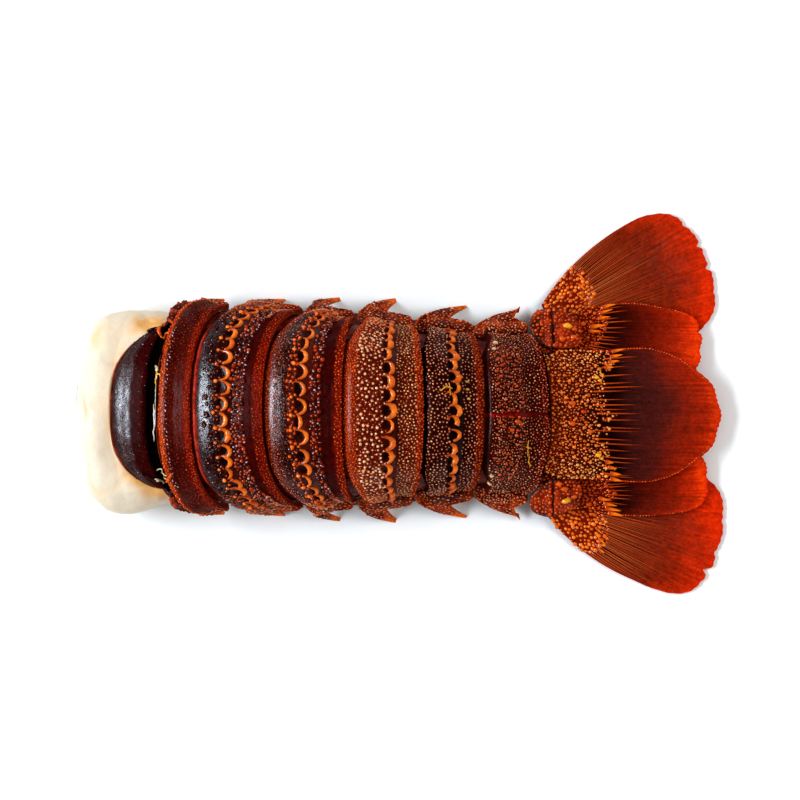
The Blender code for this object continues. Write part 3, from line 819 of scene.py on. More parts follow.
def shell_material():
    """Wet cooked shell, freckled at under a millimetre."""
    return tinted("cooked_shell", rough=(0.12, 0.32), speck=0.34, speck_size=0.7, bump=0.7, bump_size=0.3)[0]


def granule_material():
    """Granules: smoother and wetter than the shell they stand on."""
    return tinted("shell_granules", rough=(0.1, 0.24), speck=0.14, speck_size=0.4, bump=0.12, bump_size=0.3,
                  gloss=(1.0, 0.05))[0]


def fan_material():
    """Fan blades: fine rays run from base to rim, stronger than the specks."""
    made, nodes, links, _ = tinted("fan_blade", rough=(0.14, 0.34), speck=0.2, speck_size=0.7, bump=0.25,
                                   bump_size=0.4, gloss=(0.6, 0.04))
    rays = nodes.new("ShaderNodeUVMap")
    rays.uv_map = "rays"
    squeeze = nodes.new("ShaderNodeVectorMath")
    squeeze.operation = "MULTIPLY"
    squeeze.inputs[1].default_value = RAY_SCALE
    links.new(rays.outputs["UV"], squeeze.inputs[0])
    streaks = nodes.new("ShaderNodeTexNoise")
    streaks.inputs["Scale"].default_value = 1.0
    streaks.inputs["Detail"].default_value = 2.0
    links.new(squeeze.outputs["Vector"], streaks.inputs["Vector"])
    value = next(node for node in nodes if node.bl_idname == "ShaderNodeHueSaturation")
    before = value.inputs["Value"].links[0].from_socket
    rayed = ranged(nodes, links, streaks.outputs["Fac"], 0.86, 1.16)
    links.new(product(nodes, links, before, rayed), value.inputs["Value"])
    return made


def meat_material():
    """White meat with light under its surface."""
    made, _, _, shader = tinted("tail_meat", rough=(0.3, 0.5), speck=0.02, speck_size=2.5, bump=0.3,
                                bump_size=0.9, gloss=(0.3, 0.1))
    soften(shader, weight=0.35, reach=(1.0, 0.62, 0.36), scale_mm=0.5)
    return made


def skin_material():
    """Soft skin of the underside and its paddles."""
    made, _, _, shader = tinted("soft_skin", rough=(0.38, 0.6), speck=0.15, speck_size=1.4, bump=0.5,
                                bump_size=0.6)
    soften(shader, weight=0.15, reach=(1.0, 0.4, 0.2), scale_mm=1.0)
    return made


# The shell segments

def around():
    """Places across a segment: angle from the back's midline, level down the side plate, and side."""
    arch = [(math.radians(90.0 * k / ARCH_STEPS), 0.0) for k in range(ARCH_STEPS + 1)]
    half = arch + [(math.radians(90.0), (k + 1) / PLATE_STEPS) for k in range(PLATE_STEPS)]
    left = [(angle, level, -1.0) for angle, level in half[:0:-1]]
    right = [(angle, level, 1.0) for angle, level in half]
    return np.array(left + right).T


def plate_shift(spec, level, front, rear):
    """How far the front and rear edges of a side plate move from where the arch ends."""
    front_shift = (spec["tip_x"] - SPINE_TIP_WIDTH - front) * level**2.6
    to_notch = smoothstep(LOBE_LEVEL, NOTCH_LEVEL, level)
    to_tip = np.clip((level - NOTCH_LEVEL) / (1 - NOTCH_LEVEL), 0.0, 1.0) ** 1.2
    edge = spec["lobe_x"] + (spec["notch_x"] - spec["lobe_x"]) * to_notch
    edge = edge + (spec["tip_x"] - spec["notch_x"]) * to_tip
    edge = rear + (edge - rear) * smoothstep(0.0, 0.12, level)
    return front_shift, np.maximum(edge, front + front_shift + SPINE_TIP_WIDTH) - rear


def segment_surface(spec, stations, offsets, place):
    """The grid of points of one face of a shell segment: stations along it by places across it."""
    angle, level, side = around()
    first, last = place(stations[0], angle), place(stations[-1], angle)
    front = first + body(first)[3]
    rear = last + body(last)[3]
    front_shift, rear_shift = plate_shift(spec, level, front, rear)
    rows = []
    for station, offset in zip(stations, offsets):
        local = place(station, angle)
        share = (local - first) / (last - first)
        x, y, z = arch_point(local, angle, side, offset)
        width, _, spring, _ = body(local)
        spread = spec["flare"] * (0.86 + 0.14 * share) * level**FLARE_POWER
        relief = offset * (1 - PLATE_FLATTEN * level)
        along = (local + body(local)[3] - front) / (rear - front)
        x = np.where(level > 0, front + along * (rear - front), x)
        x = x + front_shift * (1 - along) + rear_shift * along
        y = np.where(level > 0, side * (width + relief + spread), y) + midline(x)
        z = np.where(level > 0, spring - (spring - spec["low"]) * level, z)
        rows.append(stacked(x, y, z))
    return np.array(rows)


def facet_front(angle):
    """The first segment's front edge: a rounded facet on the back, then close along the raised ridge."""
    width = body(np.array(FACET_GROOVE))[0]
    across = np.clip(width * np.sin(angle) ** (2 / SECTION_POWER) / FACET_HALF_WIDTH, 0.0, 1.0)
    return FACET_FRONT + FACET_LENGTH * (1 - np.sqrt(np.clip(1 - across**3.2, 0.0, 1.0)))


def first_segment_grids(spec):
    """Outer and inner points of the first segment."""
    rear = spec["rear"]

    def place(station, angle):
        start = facet_front(angle)
        if station >= FACET_GROOVE:
            return np.full_like(angle, station)
        return start + (FACET_GROOVE - start) * (station - FACET_FRONT) / (FACET_GROOVE - FACET_FRONT)

    stations = [FACET_FRONT, FACET_FRONT + 1.2, FACET_FRONT + 3.2, FACET_FRONT + 7.0, FACET_FRONT + 10.0,
                FACET_GROOVE, FACET_GROOVE + 1.3, rear - 4.2, rear]
    offsets = [-2.6, -1.4, -0.4, -0.3, -0.9, -1.3, 0.6, spec["front_lift"], REAR_LIFT]
    length = (FACET_GROOVE - facet_front(around()[0])) / (FACET_GROOVE - FACET_FRONT)
    dense = spaced(FACET_FRONT, rear)
    curve = smooth_curve(stations, offsets, dense)
    curve = curve - REAR_ROUND * smoothstep(rear - 0.5, rear, dense)
    lifts = []
    for station, offset in zip(dense, curve):
        flat = offsets[5] + (offset - offsets[5]) * (0.15 + 0.85 * length)
        lifts.append(flat if station < FACET_GROOVE else np.full_like(length, offset))
    inner = [lift - SHELL - roll for lift, roll in zip(lifts, groove_dip(dense))]
    return dense, segment_surface(spec, dense, lifts, place), segment_surface(spec, dense, inner, place)


def groove_dip(stations):
    """How far the groove before the first segment's ridge is sunk, in millimetres."""
    pixel = pixel_at(stations)
    return GROOVE_DIP * smoothstep(142, 151, pixel) * smoothstep(157.5, 154, pixel)


def spaced(low, high):
    """Rows a fine step apart, a whole number of groups of them."""
    groups = int(math.ceil((high - low) / (ROW_STEP * ROW_GROUP)))
    return np.linspace(low, high, groups * ROW_GROUP + 1)


def segment_grids(spec, previous_rear):
    """Outer and inner points of a segment that runs under the one before it."""
    ridge, rear = spec["ridge"], spec["rear"]
    front = previous_rear - HIDDEN_LAP

    def place(station, angle):
        start = front + (HIDDEN_LAP + SIDE_GAP) * smoothstep(math.radians(35), math.radians(86), angle)
        return start + (rear - start) * (station - front) / (rear - front)

    stations = [front, previous_rear + 0.1, previous_rear + 1.5, previous_rear + 4.2,
                ridge - 1.4, ridge, ridge + 1.6, rear - 2.2, rear]
    lift = spec["front_lift"]
    offsets = [FRONT_SINK - 0.1, FRONT_SINK, 0.1, lift, lift * 0.6, RIDGE_LIFT, -0.05, 0.15, REAR_LIFT]
    dense = spaced(front, rear)
    curve = smooth_curve(stations, offsets, dense) - REAR_ROUND * smoothstep(rear - 0.5, rear, dense)
    outer = segment_surface(spec, dense, curve, place)
    return dense, outer, segment_surface(spec, dense, curve - SHELL, place)


# Rows of half rings on the backs of four segments: the crown's pixel on the midline, how deep and wide each
# ring is, how thick at its crown, the share of that left at its ends, and the radius of the beads between.
RINGS = {
    "tergite_2": dict(crown=229.5, depth=1.75, pitch=3.7, thick=0.66, ends=0.5, bead=0.6),
    "tergite_3": dict(crown=308.0, depth=2.0, pitch=4.2, thick=0.7, ends=0.45, bead=0.58),
    "tergite_4": dict(crown=395.0, depth=1.75, pitch=3.95, thick=0.84, ends=0.26, bead=0.0),
    "tergite_5": dict(crown=461.5, depth=1.75, pitch=3.3, thick=0.76, ends=0.34, bead=0.0),
}
RING_TURN = (math.radians(-84), math.radians(108))
RING_STEPS = 17
RING_FILL = 0.93
HOLLOW_DEPTH = 0.42


def ring_centres(name, arch_half, rng):
    """Where the half rings lie across a segment, in millimetres of arc from the back's midline."""
    spec = RINGS[name]
    count = int(arch_half * 0.95 / spec["pitch"])
    steps = spec["pitch"] * (1 + 0.11 * rng.standard_normal(2 * count + 1))
    places = np.cumsum(steps)
    return places - places[count] + 0.4 * rng.standard_normal()


def ring_relief(name, stations, arc, centres):
    """Relief of the row of half rings, and how far inside a ring each place is."""
    spec = RINGS[name]
    half = spec["pitch"] * 0.5
    offset = arc[:, None] - centres[None, :]
    nearest = offset[np.arange(len(arc)), np.abs(offset).argmin(axis=1)]
    middle = plan_x(spec["crown"]) - spec["thick"] - spec["depth"]
    reach = np.hypot((stations[:, None] - middle) / spec["depth"], nearest[None, :] / half)
    row = smoothstep(half * 2.2, half * 1.1, np.abs(nearest))[None, :]
    uneven = noise(stacked(stations[:, None], arc[None, :], 0.0), 3.0, 13)
    hollow = smoothstep(1.0, 0.5, reach) * row * (0.8 + 0.5 * uneven)
    hollow = hollow * smoothstep(-0.9, 0.1, (stations[:, None] - middle) / spec["depth"])
    behind = stations[:, None] - plan_x(spec["crown"])
    swell = 0.22 * hump(stations[:, None] - middle, 0.2, 2.4) - 0.2 * hump(behind, 0.7, 0.6)
    return (swell - HOLLOW_DEPTH * hollow) * row, np.clip(hollow, 0.0, 1.0)


def add_rings(heap, beads, skin, name, centres, rng):
    """The raised half rings, open towards the front, and the beads between them."""
    spec = RINGS[name]
    half = spec["pitch"] * 0.5 * RING_FILL
    arch_half = skin.arc[skin.arch_end]
    for centre in centres:
        side = abs(centre) / arch_half
        depth = spec["depth"] * (1 + 0.14 * rng.standard_normal()) * (1 - 0.2 * side)
        turn = np.linspace(*RING_TURN, RING_STEPS) + 0.24 * rng.standard_normal()
        middle = plan_x(spec["crown"]) - spec["thick"] - spec["depth"] + 0.22 * rng.standard_normal()
        spots = skin.at(middle + depth * np.cos(turn), centre + half * np.sin(turn))
        crown = np.cos(turn * 0.8) ** 2
        fat = spec["thick"] * (spec["ends"] + (1 - spec["ends"]) * crown) * (1 + 0.14 * rng.standard_normal())
        fat = fat * (1 - 0.25 * side) * (1 + 0.12 * rng.standard_normal(len(turn)))
        age = min(1.0, 0.6 * side**2 + 0.35 * rng.random() ** 2)
        tone = mixed(toned("bright"), toned("rust"), age)
        tones = mixed(tone, toned("ring end"), 0.75 * (1 - crown))
        heap.tube(spots["place"] + spots["normal"] * 0.05, spots["normal"], fat, fat * 0.95, tones)
    if spec["bead"]:
        joints = 0.5 * (centres[1:] + centres[:-1])
        joints = joints[np.abs(joints) < 0.85 * arch_half]
        shift = rng.uniform(-0.5, 0.1, len(joints)) - 1.1 * spec["depth"]
        places = joints + 0.2 * rng.standard_normal(len(joints))
        spots = skin.at(plan_x(spec["crown"]) - spec["depth"] + shift, places)
        sizes = spec["bead"] * rng.uniform(0.8, 1.2, len(joints))
        tones = mixed(toned("bright"), toned("rust"), 0.6 * rng.random(len(joints)))
        beads.domes(spots, sizes, 0.95, tones, rng, big=True)


def zone(low, high, near, far, pitch, radius, height, first, second, stretch=1.0, pit=0.0):
    """Granules between two pixels on the midline and two shares of the arch, a pitch apart, in two tones."""
    return low, high, near, far, pitch, radius, height, first, second, stretch, pit


# What grows on the segments' backs; stretch draws granules out along the body, and pit hollows their tops.
# Zones in the painted_glint tone scatter pale specks that are painted highlights, not granules of the shell.
ZONES = {
    "tergite_1": (
        zone(112, 145, 0.0, 0.9, 0.95, 0.17, 0.7, "maroon", "maroon"),
        zone(118, 144, 0.0, 0.7, 2.1, 0.13, 1.0, "painted_glint", "maroon", stretch=1.2),
        zone(159.0, 163.0, 0.0, 1.1, 0.56, 0.35, 0.9, "orange", "rust"),
        zone(164.6, 166.8, 0.0, 0.55, 0.8, 0.36, 0.5, "painted_glint", "pink", stretch=0.4),
        zone(162, 183, 0.0, 1.0, 0.8, 0.2, 0.8, "rust", "maroon"),
        zone(184, 190, 0.0, 1.0, 0.6, 0.24, 0.6, "rust", "red"),
    ),
    "tergite_2": (
        zone(197, 214, 0.0, 0.8, 0.8, 0.2, 0.8, "maroon", "dark"),
        zone(204, 217, 0.0, 0.62, 1.75, 0.78, 0.7, "maroon", "dark", pit=0.95),
        zone(216, 222, 0.0, 0.8, 1.1, 0.42, 0.9, "orange", "maroon", stretch=1.2),
        zone(198, 226, 0.62, 1.0, 0.8, 0.27, 0.7, "orange", "maroon", stretch=2.2),
        zone(230.5, 243, 0.0, 0.8, 1.0, 0.56, 1.1, "maroon", "rust"),
        zone(231, 243, 0.0, 0.8, 0.95, 0.28, 1.3, "painted_glint", "pink", stretch=1.2),
        zone(199, 214, 0.0, 0.7, 1.6, 0.15, 1.0, "painted_glint", "maroon", stretch=1.5),
        zone(229, 246, 0.68, 1.0, 0.8, 0.3, 0.7, "orange", "cream", stretch=2.0),
        zone(252, 263, 0.0, 1.0, 0.68, 0.19, 0.7, "rust", "orange"),
    ),
    "tergite_3": (
        zone(264, 277, 0.0, 1.0, 0.6, 0.2, 0.7, "rust", "orange"),
        zone(276, 295, 0.0, 0.9, 0.7, 0.21, 0.8, "dark", "pink"),
        zone(268, 292, 0.0, 0.66, 1.3, 0.16, 1.0, "painted_glint", "maroon", stretch=1.2),
        zone(286, 297, 0.0, 0.9, 1.1, 0.45, 1.0, "rust", "orange"),
        zone(310, 320, 0.0, 0.8, 1.0, 0.54, 1.1, "maroon", "rust"),
        zone(310, 319, 0.0, 0.8, 1.05, 0.28, 1.3, "painted_glint", "pink", stretch=1.2),
        zone(309, 316, 0.0, 0.8, 1.6, 0.42, 1.0, "orange", "pink"),
        zone(270, 322, 0.76, 1.0, 0.8, 0.3, 0.7, "orange", "cream", stretch=1.9),
        zone(334, 342, 0.0, 1.0, 0.66, 0.24, 0.6, "orange", "rust"),
    ),
    "tergite_4": (
        zone(343, 356, 0.0, 1.0, 0.62, 0.29, 0.7, "orange", "rust"),
        zone(356, 386, 0.0, 0.62, 1.06, 0.42, 0.6, "cream", "pale"),
        zone(356, 386, 0.4, 0.8, 0.95, 0.36, 0.55, "cream", "orange"),
        zone(352, 386, 0.0, 0.78, 0.84, 0.22, 0.6, "orange", "rust"),
        zone(354, 386, 0.72, 1.0, 0.74, 0.28, 0.6, "orange", "cream", stretch=1.4),
        zone(397, 417, 0.0, 1.0, 0.76, 0.28, 0.55, "cream", "olive"),
        zone(397, 417, 0.0, 1.0, 0.7, 0.19, 0.55, "rust", "orange"),
        zone(417, 423.5, 0.0, 1.0, 0.62, 0.33, 0.6, "orange", "rust"),
    ),
    "tergite_5": (
        zone(427, 449, 0.0, 1.0, 0.78, 0.27, 0.55, "cream", "pink"),
        zone(462.5, 477, 0.0, 1.0, 0.76, 0.27, 0.55, "cream", "pink"),
        zone(477, 483.5, 0.0, 1.0, 0.62, 0.28, 0.6, "rust", "orange"),
    ),
    "tergite_6": (
        zone(492, 548.5, 0.0, 1.12, 0.68, 0.25, 0.6, "cream", "rust"),
        zone(497, 522, 0.0, 0.64, 1.25, 0.38, 1.1, "rust", "pink", stretch=1.5),
        zone(498, 526, 0.0, 0.64, 1.3, 0.36, 1.1, "orange", "maroon", stretch=1.3),
        zone(543, 548, 0.0, 1.0, 0.6, 0.27, 0.6, "rust", "red"),
    ),
}

# Radius over which a dome has more points, and the last segment's bare red seam in pixels.
BIG_RADIUS = 0.42
SEAM_MIDDLE = 415.0
SEAM_HALF = 2.2


def zone_mask(skin, low, high, near, far):
    """One where a skin's rows lie between two pixels and its columns between two shares of the arch."""
    share = np.abs(skin.arc) / skin.arc[skin.arch_end]
    pixel = pixel_at(skin.rows)[:, None] + 1.3 * noise(skin.points, 3.5, 12)
    return ((pixel > low) & (pixel < high) & (share[None, :] >= near) & (share[None, :] <= far)).astype(float)


def tones_between(first, second, count, rng):
    """Linear colours that lie between two named tones, mostly near the first."""
    return mixed(toned(first), toned(second), rng.random(count) ** 1.5)


def grow(heap, spots, radius, height, tones, rng, vary=0.0, least=0.5, most=1.6, **form):
    """Domes on spots, between two named tones; vary is the spread of their radii, held from least to most."""
    count = len(spots["place"])
    if vary:
        radius = radius * np.clip(1 + vary * rng.standard_normal(count), least, most)
    heap.domes(spots, radius, height, tones_between(*tones, count, rng), rng, **form)


def add_zones(granules, name, skin, hollow, rng):
    """Granules of one segment; returns how close to one each place of its skin is."""
    glow = np.zeros(hollow.shape)
    free = (hollow < 0.2).astype(float)
    if name == "tergite_6":
        free = free * (np.abs(skin.points[..., 1] - plan_y(SEAM_MIDDLE)) > SEAM_HALF * PIXEL)
    for low, high, near, far, pitch, radius, height, first, second, stretch, pit in ZONES[name]:
        spots = skin.scatter(zone_mask(skin, low, high, near, far) * free, pitch, rng)
        # Painted glints go with the pale granules, and get no halo.
        heap = granules["pale" if first in ("cream", "painted_glint") else "dark"]
        grow(heap, spots, radius, height, (first, second), rng, vary=0.2, least=0.6, most=1.45,
             stretch=stretch, pit=pit, big=radius > BIG_RADIUS)
        if "maroon" not in (first, second) and first != "painted_glint" and name != "tergite_6":
            skin.glow(glow, spots, radius)
    return glow


def add_plate_granules(heap, skin, level, rng):
    """Flecks on the side plates, drawn out towards the spines."""
    mask = np.broadcast_to(((level > 0.03) & (level < 0.8)).astype(float)[None, :], skin.area.shape)
    spots = skin.scatter(mask, 0.82, rng)
    grow(heap, spots, 0.25, 0.7, ("orange", "cream"), rng, vary=0.25, stretch=1.5)


def segment_tints(name, skin, level, hollow, glow):
    """The shell's tints: bands along the back, painted shade in the ring hollows, brown side plates with
    orange tips and edges.
    """
    points = skin.points
    drift = 1.1 * noise(points, 3.0, 3) + 0.8 * noise(points, 0.9, 4)
    pixel = pixel_at(skin.rows)[:, None] + drift
    tints = ramp(pixel, BANDS[name])
    tints = tints * (1 + 0.35 * noise(points, 1.1, 5, 2) + 0.18 * noise(points, 7.0, 6))[..., None]
    tints = mixed(tints, toned("shell halo"), 0.55 * glow)
    # Painted shade: the hollows inside the half rings are darkened towards near-black.
    tints = mixed(tints, toned("hollow"), 0.8 * hollow)
    if name == "tergite_6":
        seam = smoothstep(1.3, 0.5, np.abs(points[..., 1] - plan_y(SEAM_MIDDLE)) / (SEAM_HALF * PIXEL))
        seam = seam * smoothstep(552.0, 508.0, pixel_at(points[..., 0]))
        tints = mixed(tints, toned("seam"), 0.8 * seam)
    share = np.abs(skin.arc) / skin.arc[skin.arch_end]
    warm = ramp(noise(points, 2.6, 11, 2), RAMPS["flank"])
    tints = mixed(tints, warm, np.broadcast_to(0.55 * smoothstep(0.55, 0.95, share), points.shape[:2]))
    plate = np.broadcast_to(smoothstep(0.0, 0.25, level)[None, :], points.shape[:2])
    brown = ramp(noise(points, 2.0, 7, 2), RAMPS["side plate"])
    tints = mixed(tints, brown, 0.8 * plate)
    steps = np.arange(len(skin.rows))
    edge = np.maximum(smoothstep(4, 1, steps), smoothstep(len(steps) - 5, len(steps) - 2, steps))
    tints = mixed(tints, toned("plate edge"), 0.75 * edge[:, None] * plate)
    tip = np.broadcast_to(smoothstep(0.72, 0.95, level)[None, :], points.shape[:2])
    return mixed(tints, toned("plate tip"), 0.85 * tip)


def segment_gloss(name, skin, hollow):
    """How glossy each place is: by its band, broken by uneven patches, and dull in the hollows."""
    pixel = pixel_at(skin.rows)[:, None] + noise(skin.points, 2.0, 14)
    stops = BANDS[name]
    gloss = np.interp(pixel, [stop[0] for stop in stops], [stop[2] for stop in stops])
    patches = 1 + 0.5 * noise(skin.points, 3.0, 15, 2) + 0.3 * noise(skin.points, 0.8, 16)
    return np.clip(gloss * patches, 0.0, 3.0) * (1 - 0.5 * hollow)


def segment_relief(name, skin, level):
    """Fine roughness, a groove before the rear rim, and what the first and the last segment add to them."""
    points, rows = skin.points, skin.rows
    rear = SEGMENTS[name]["rear"]
    relief = 0.06 * noise(points, 1.0, 8, 2) + 0.1 * noise(points, 4.5, 9)
    relief = relief - (0.07 * hump(rows, rear - 2.9, 0.3))[:, None]
    if name == "tergite_6":
        relief = relief + (0.25 * hump(rows, plan_x(511.0), 3.6))[:, None] * noise(points, 1.5, 17)
    if name == "tergite_1":
        roll = 0.5 * smoothstep(124, 113, pixel_at(rows)) - groove_dip(rows)
        relief = relief + roll[:, None]
    return relief * (1 - 0.6 * level[None, :])


def add_segments(finish, granules, rings, rng):
    """The six shell segments, with what grows on them."""
    _, level, _ = around()
    skins, previous = {}, None
    for name, spec in SEGMENTS.items():
        grids = first_segment_grids(spec) if previous is None else segment_grids(spec, previous)
        stations, outer, inner = grids
        skin = Skin(outer, stations)
        skin.arch_end = len(level) - 1 - PLATE_STEPS
        relief, hollow = segment_relief(name, skin, level), np.zeros(outer.shape[:2])
        if name in RINGS:
            centres = ring_centres(name, skin.arc[skin.arch_end], rng)
            ring_height, hollow = ring_relief(name, stations, skin.arc, centres)
            relief = relief + ring_height
        skin.raise_by(relief)
        if name in RINGS:
            add_rings(rings, granules["dark"], skin, name, centres, rng)
        glow = add_zones(granules, name, skin, hollow, rng)
        add_plate_granules(granules["pale"], skin, level, rng)
        lower = inner[::ROW_GROUP]
        tints = segment_tints(name, skin, level, hollow, glow)
        gloss = segment_gloss(name, skin, hollow)
        lower_tints = toned("inner") * (1 + 0.2 * noise(lower, 4.0, 10))[..., None]
        add_sheet(name + "_shell", skin.points, lower, tints, lower_tints, finish, name, gloss=gloss)
        skins[name] = skin
        previous = spec["rear"]
    return skins


# Dark soft skin in the joints at the sides: how far it reaches before and behind a segment's rear edge, and
# how far it lies under the shell.
JOINT_BEFORE = 2.4
JOINT_BEHIND = 5.4
JOINT_SINK = -1.5
JOINT_THICK = 0.5


def add_joint_skins(heap):
    """Skin that closes the joints between the segments at both sides."""
    names = list(SEGMENTS)
    rows = np.linspace(0.0, 1.0, 13)[:, None]
    on_arch, on_plate = 14, 8
    angle = np.radians(np.concatenate([np.linspace(50, 90, on_arch), np.full(on_plate, 90.0)]))[None, :]
    level = np.concatenate([np.zeros(on_arch), np.linspace(0.04, 0.42, on_plate)])[None, :]
    for first, second in zip(names, names[1:]):
        before, behind = SEGMENTS[first], SEGMENTS[second]
        u = before["rear"] - JOINT_BEFORE + (JOINT_BEFORE + JOINT_BEHIND) * rows + 0 * angle
        flare = 0.5 * (before["flare"] + behind["flare"]) * level**FLARE_POWER
        for side in (1.0, -1.0):
            faces = []
            for depth in (0.0, JOINT_THICK):
                x, y, z = arch_point(u, angle + 0 * u, side, JOINT_SINK - depth)
                y = y + side * (flare - 0.6 * (level > 0))
                z = z - (body(u)[2] - before["low"]) * level
                faces.append(stacked(x, y + midline(x), z))
            upper = faces[0] + 0.4 * noise(faces[0], 1.6, 81, 2)[..., None] * np.array([0.0, side, 0.4])
            tints = ramp(noise(upper, 1.4, 82, 2), RAMPS["joint skin"])
            heap.sheet(upper, faces[1], tints)


# Bumpy skin at the fan's root, beside the last segment, a limb plate and the middle blade: the pixels it lies
# between, left, right, top and bottom.
ROOT_SKINS = ((540.0, 563.0, 326.0, 353.0), (540.0, 563.0, 471.0, 498.0))
ROOT_SKIN_LIFT = 1.5
ROOT_SKIN_THICK = 1.2
ROOT_GRID = (29, 33)


def add_root_skins(heap, granules, rng):
    """The skin at the fan's root, with the granules on it."""
    for left, right, top, bottom in ROOT_SKINS:
        x = np.linspace(plan_x(left), plan_x(right), ROOT_GRID[0])[:, None] + np.zeros(ROOT_GRID)
        y = np.linspace(plan_y(bottom), plan_y(top), ROOT_GRID[1])[None, :] + np.zeros(ROOT_GRID)
        flat = stacked(x, y, 0 * x)
        z = fan_height(x, y) + ROOT_SKIN_LIFT + 0.7 * noise(flat, 2.2, 91, 2)
        skin = Skin(stacked(x, y, z), np.arange(float(ROOT_GRID[0])))
        tints = ramp(noise(flat, 1.6, 92, 2), RAMPS["root skin"])
        heap.sheet(skin.points, skin.points - np.array([0.0, 0.0, ROOT_SKIN_THICK]), tints)
        spots = skin.scatter(np.ones(x.shape), 0.9, rng)
        grow(granules, spots, 0.38, 0.8, ("orange", "rust"), rng, stretch=1.2)


# Torn lumps of shell skin in front of the first segment's ridge: side, stations and angles down the arch.
SCRAPS = ((1.0, -66.6, -60.0, 52.0, 90.0), (-1.0, -65.6, -59.0, 48.0, 92.0))
SCRAP_ROUND = 0.22
SCRAP_THICK = 0.6
SCRAP_GRID = (33, 49)


def add_scraps(heap, granules, rng):
    """The torn lumps and the granules left on them."""
    for side, low, high, top, bottom in SCRAPS:
        rows, columns = (np.linspace(0.0, 1.0, count) for count in SCRAP_GRID)
        rows, columns = rows[:, None], columns[None, :]
        spread = stacked(0.0, columns * 9, side)
        start = low + 2.6 * np.abs(2 * columns - 1) ** 2.4 + 0.7 * noise(spread, 1.0, 83, 2)
        u = start + (high - start) * rows
        angle = np.radians(top + (bottom - top) * columns) + 0 * u
        x, y, z = arch_point(u, angle, side, 0.6 - 3.4 * rows**1.5)
        base = stacked(x, y + midline(x), z)
        front = np.minimum(rows / SCRAP_ROUND, 1.0)
        edge = np.minimum(1.0, 6 * np.minimum(columns, 1 - columns)) * np.sqrt(1 - (1 - front) ** 2)
        lumps = 0.7 * noise(base, 2.0, 84, 2) + 0.35 * noise(base, 0.8, 86)
        out = stacked(-0.3 + 0 * u, side * np.sin(angle), np.cos(angle))
        upper = base + out * ((0.9 + lumps) * edge)[..., None]
        tints = ramp(lumps + 0.5 * (1 - rows) ** 6, RAMPS["scrap"])
        heap.sheet(upper, base - SCRAP_THICK * out, tints)
        skin = Skin(upper, np.arange(float(SCRAP_GRID[0])))
        spots = skin.scatter(edge + 0 * u, 1.0, rng)
        grow(granules, spots, 0.32, 0.9, ("rust", "maroon"), rng, stretch=1.3)


# Bits of tissue on each skin, and one painted glint strip, a painted highlight along the first ridge: the
# pixels they run between, thickness in millimetres and tone.
BIT_STEPS = 14
BITS = {
    "tergite_1": (
        ((156, 366), (159, 379), 0.55, "tissue"), ((159, 372), (157, 386), 0.36, "yellow"),
        ((157.5, 385), (156.5, 412), 0.32, "tissue"), ((156, 404), (156.5, 440), 0.32, "meat"),
        # The strip in the painted_glint tone is a painted highlight, not tissue.
        ((158, 396), (157.5, 426), 0.26, "painted_glint"), ((157, 372), (162, 377), 0.3, "yellow"),
        ((146, 331), (158, 325), 0.5, "maroon"), ((154, 329), (163, 324), 0.4, "rust"),
        ((162, 323), (170, 333), 0.6, "orange"), ((142, 473), (157, 480), 0.5, "maroon"),
        ((155, 478), (166, 482), 0.45, "tissue"), ((167, 482), (172, 473), 0.5, "orange"),
        ((156, 469), (168, 475), 0.34, "tissue"), ((161, 472), (170, 478), 0.26, "crease"),
    ),
    "tergite_5": (
        ((440, 392), (447, 385), 0.22, "yellow"), ((445, 386), (452, 389), 0.26, "yellow"),
        ((443, 395), (452, 391), 0.2, "orange"), ((448, 383), (450, 395), 0.2, "yellow"),
    ),
    "tergite_6": (
        ((528, 440), (527, 453), 0.24, "yellow"), ((527, 452), (529, 467), 0.22, "yellow"),
        ((525, 447), (531, 449), 0.2, "yellow"),
    ),
    "telson": (
        ((596, 374), (600, 380), 0.26, "yellow"), ((600, 370), (603, 377), 0.24, "yellow"),
        ((597, 452), (600, 459), 0.26, "yellow"),
    ),
}


def add_bits(heap, skins, rng):
    """The bits of tissue and the painted glint strip, each a short bent strip that tapers to both ends."""
    t = np.linspace(0.0, 1.0, BIT_STEPS)
    for name, bits in BITS.items():
        skin = skins[name]
        for start, end, fat, tone in bits:
            (i, j), (m, n) = skin.near(*start), skin.near(*end)
            sway = 0.9 * noise(stacked(t * 7, start[0], start[1]), 1.0, 85, 2)
            spots = skin.spots(i + (m - i) * t + sway, j + (n - j) * t + sway)
            wide = fat * (0.6 + 0.7 * rng.random(BIT_STEPS)) * np.sin(math.pi * (0.08 + 0.84 * t)) ** 0.5
            tones = toned(tone) * (0.75 + 0.35 * rng.random((BIT_STEPS, 1)))
            path = spots["place"] + 0.3 * spots["normal"]
            heap.tube(path, spots["normal"], wide, wide * 0.7, tones, sides=6)


# The fan

def blade_outline(spec, across):
    """Points of a blade's rim, from its inner ray at -1 to its outermost ray at +1."""
    low, high = (math.radians(angle) for angle in spec["angles"])
    angle = low + (high - low) * (across + 1) / 2
    short = np.where(across < 0, spec["short"][0], spec["short"][1])
    reach = spec["reach"] * (1 - short * np.abs(across) ** 4) + 0.45 * np.abs(np.sin(across * 7.0)) - 0.2
    reach = reach + 0.1 * np.cos(across * 61.0) - 0.1
    for place, depth, width in spec["nicks"]:
        reach = reach - depth * hump(across, place, width)
    return spec["hub"][0] + reach * np.cos(angle), spec["hub"][1] + reach * np.sin(angle)


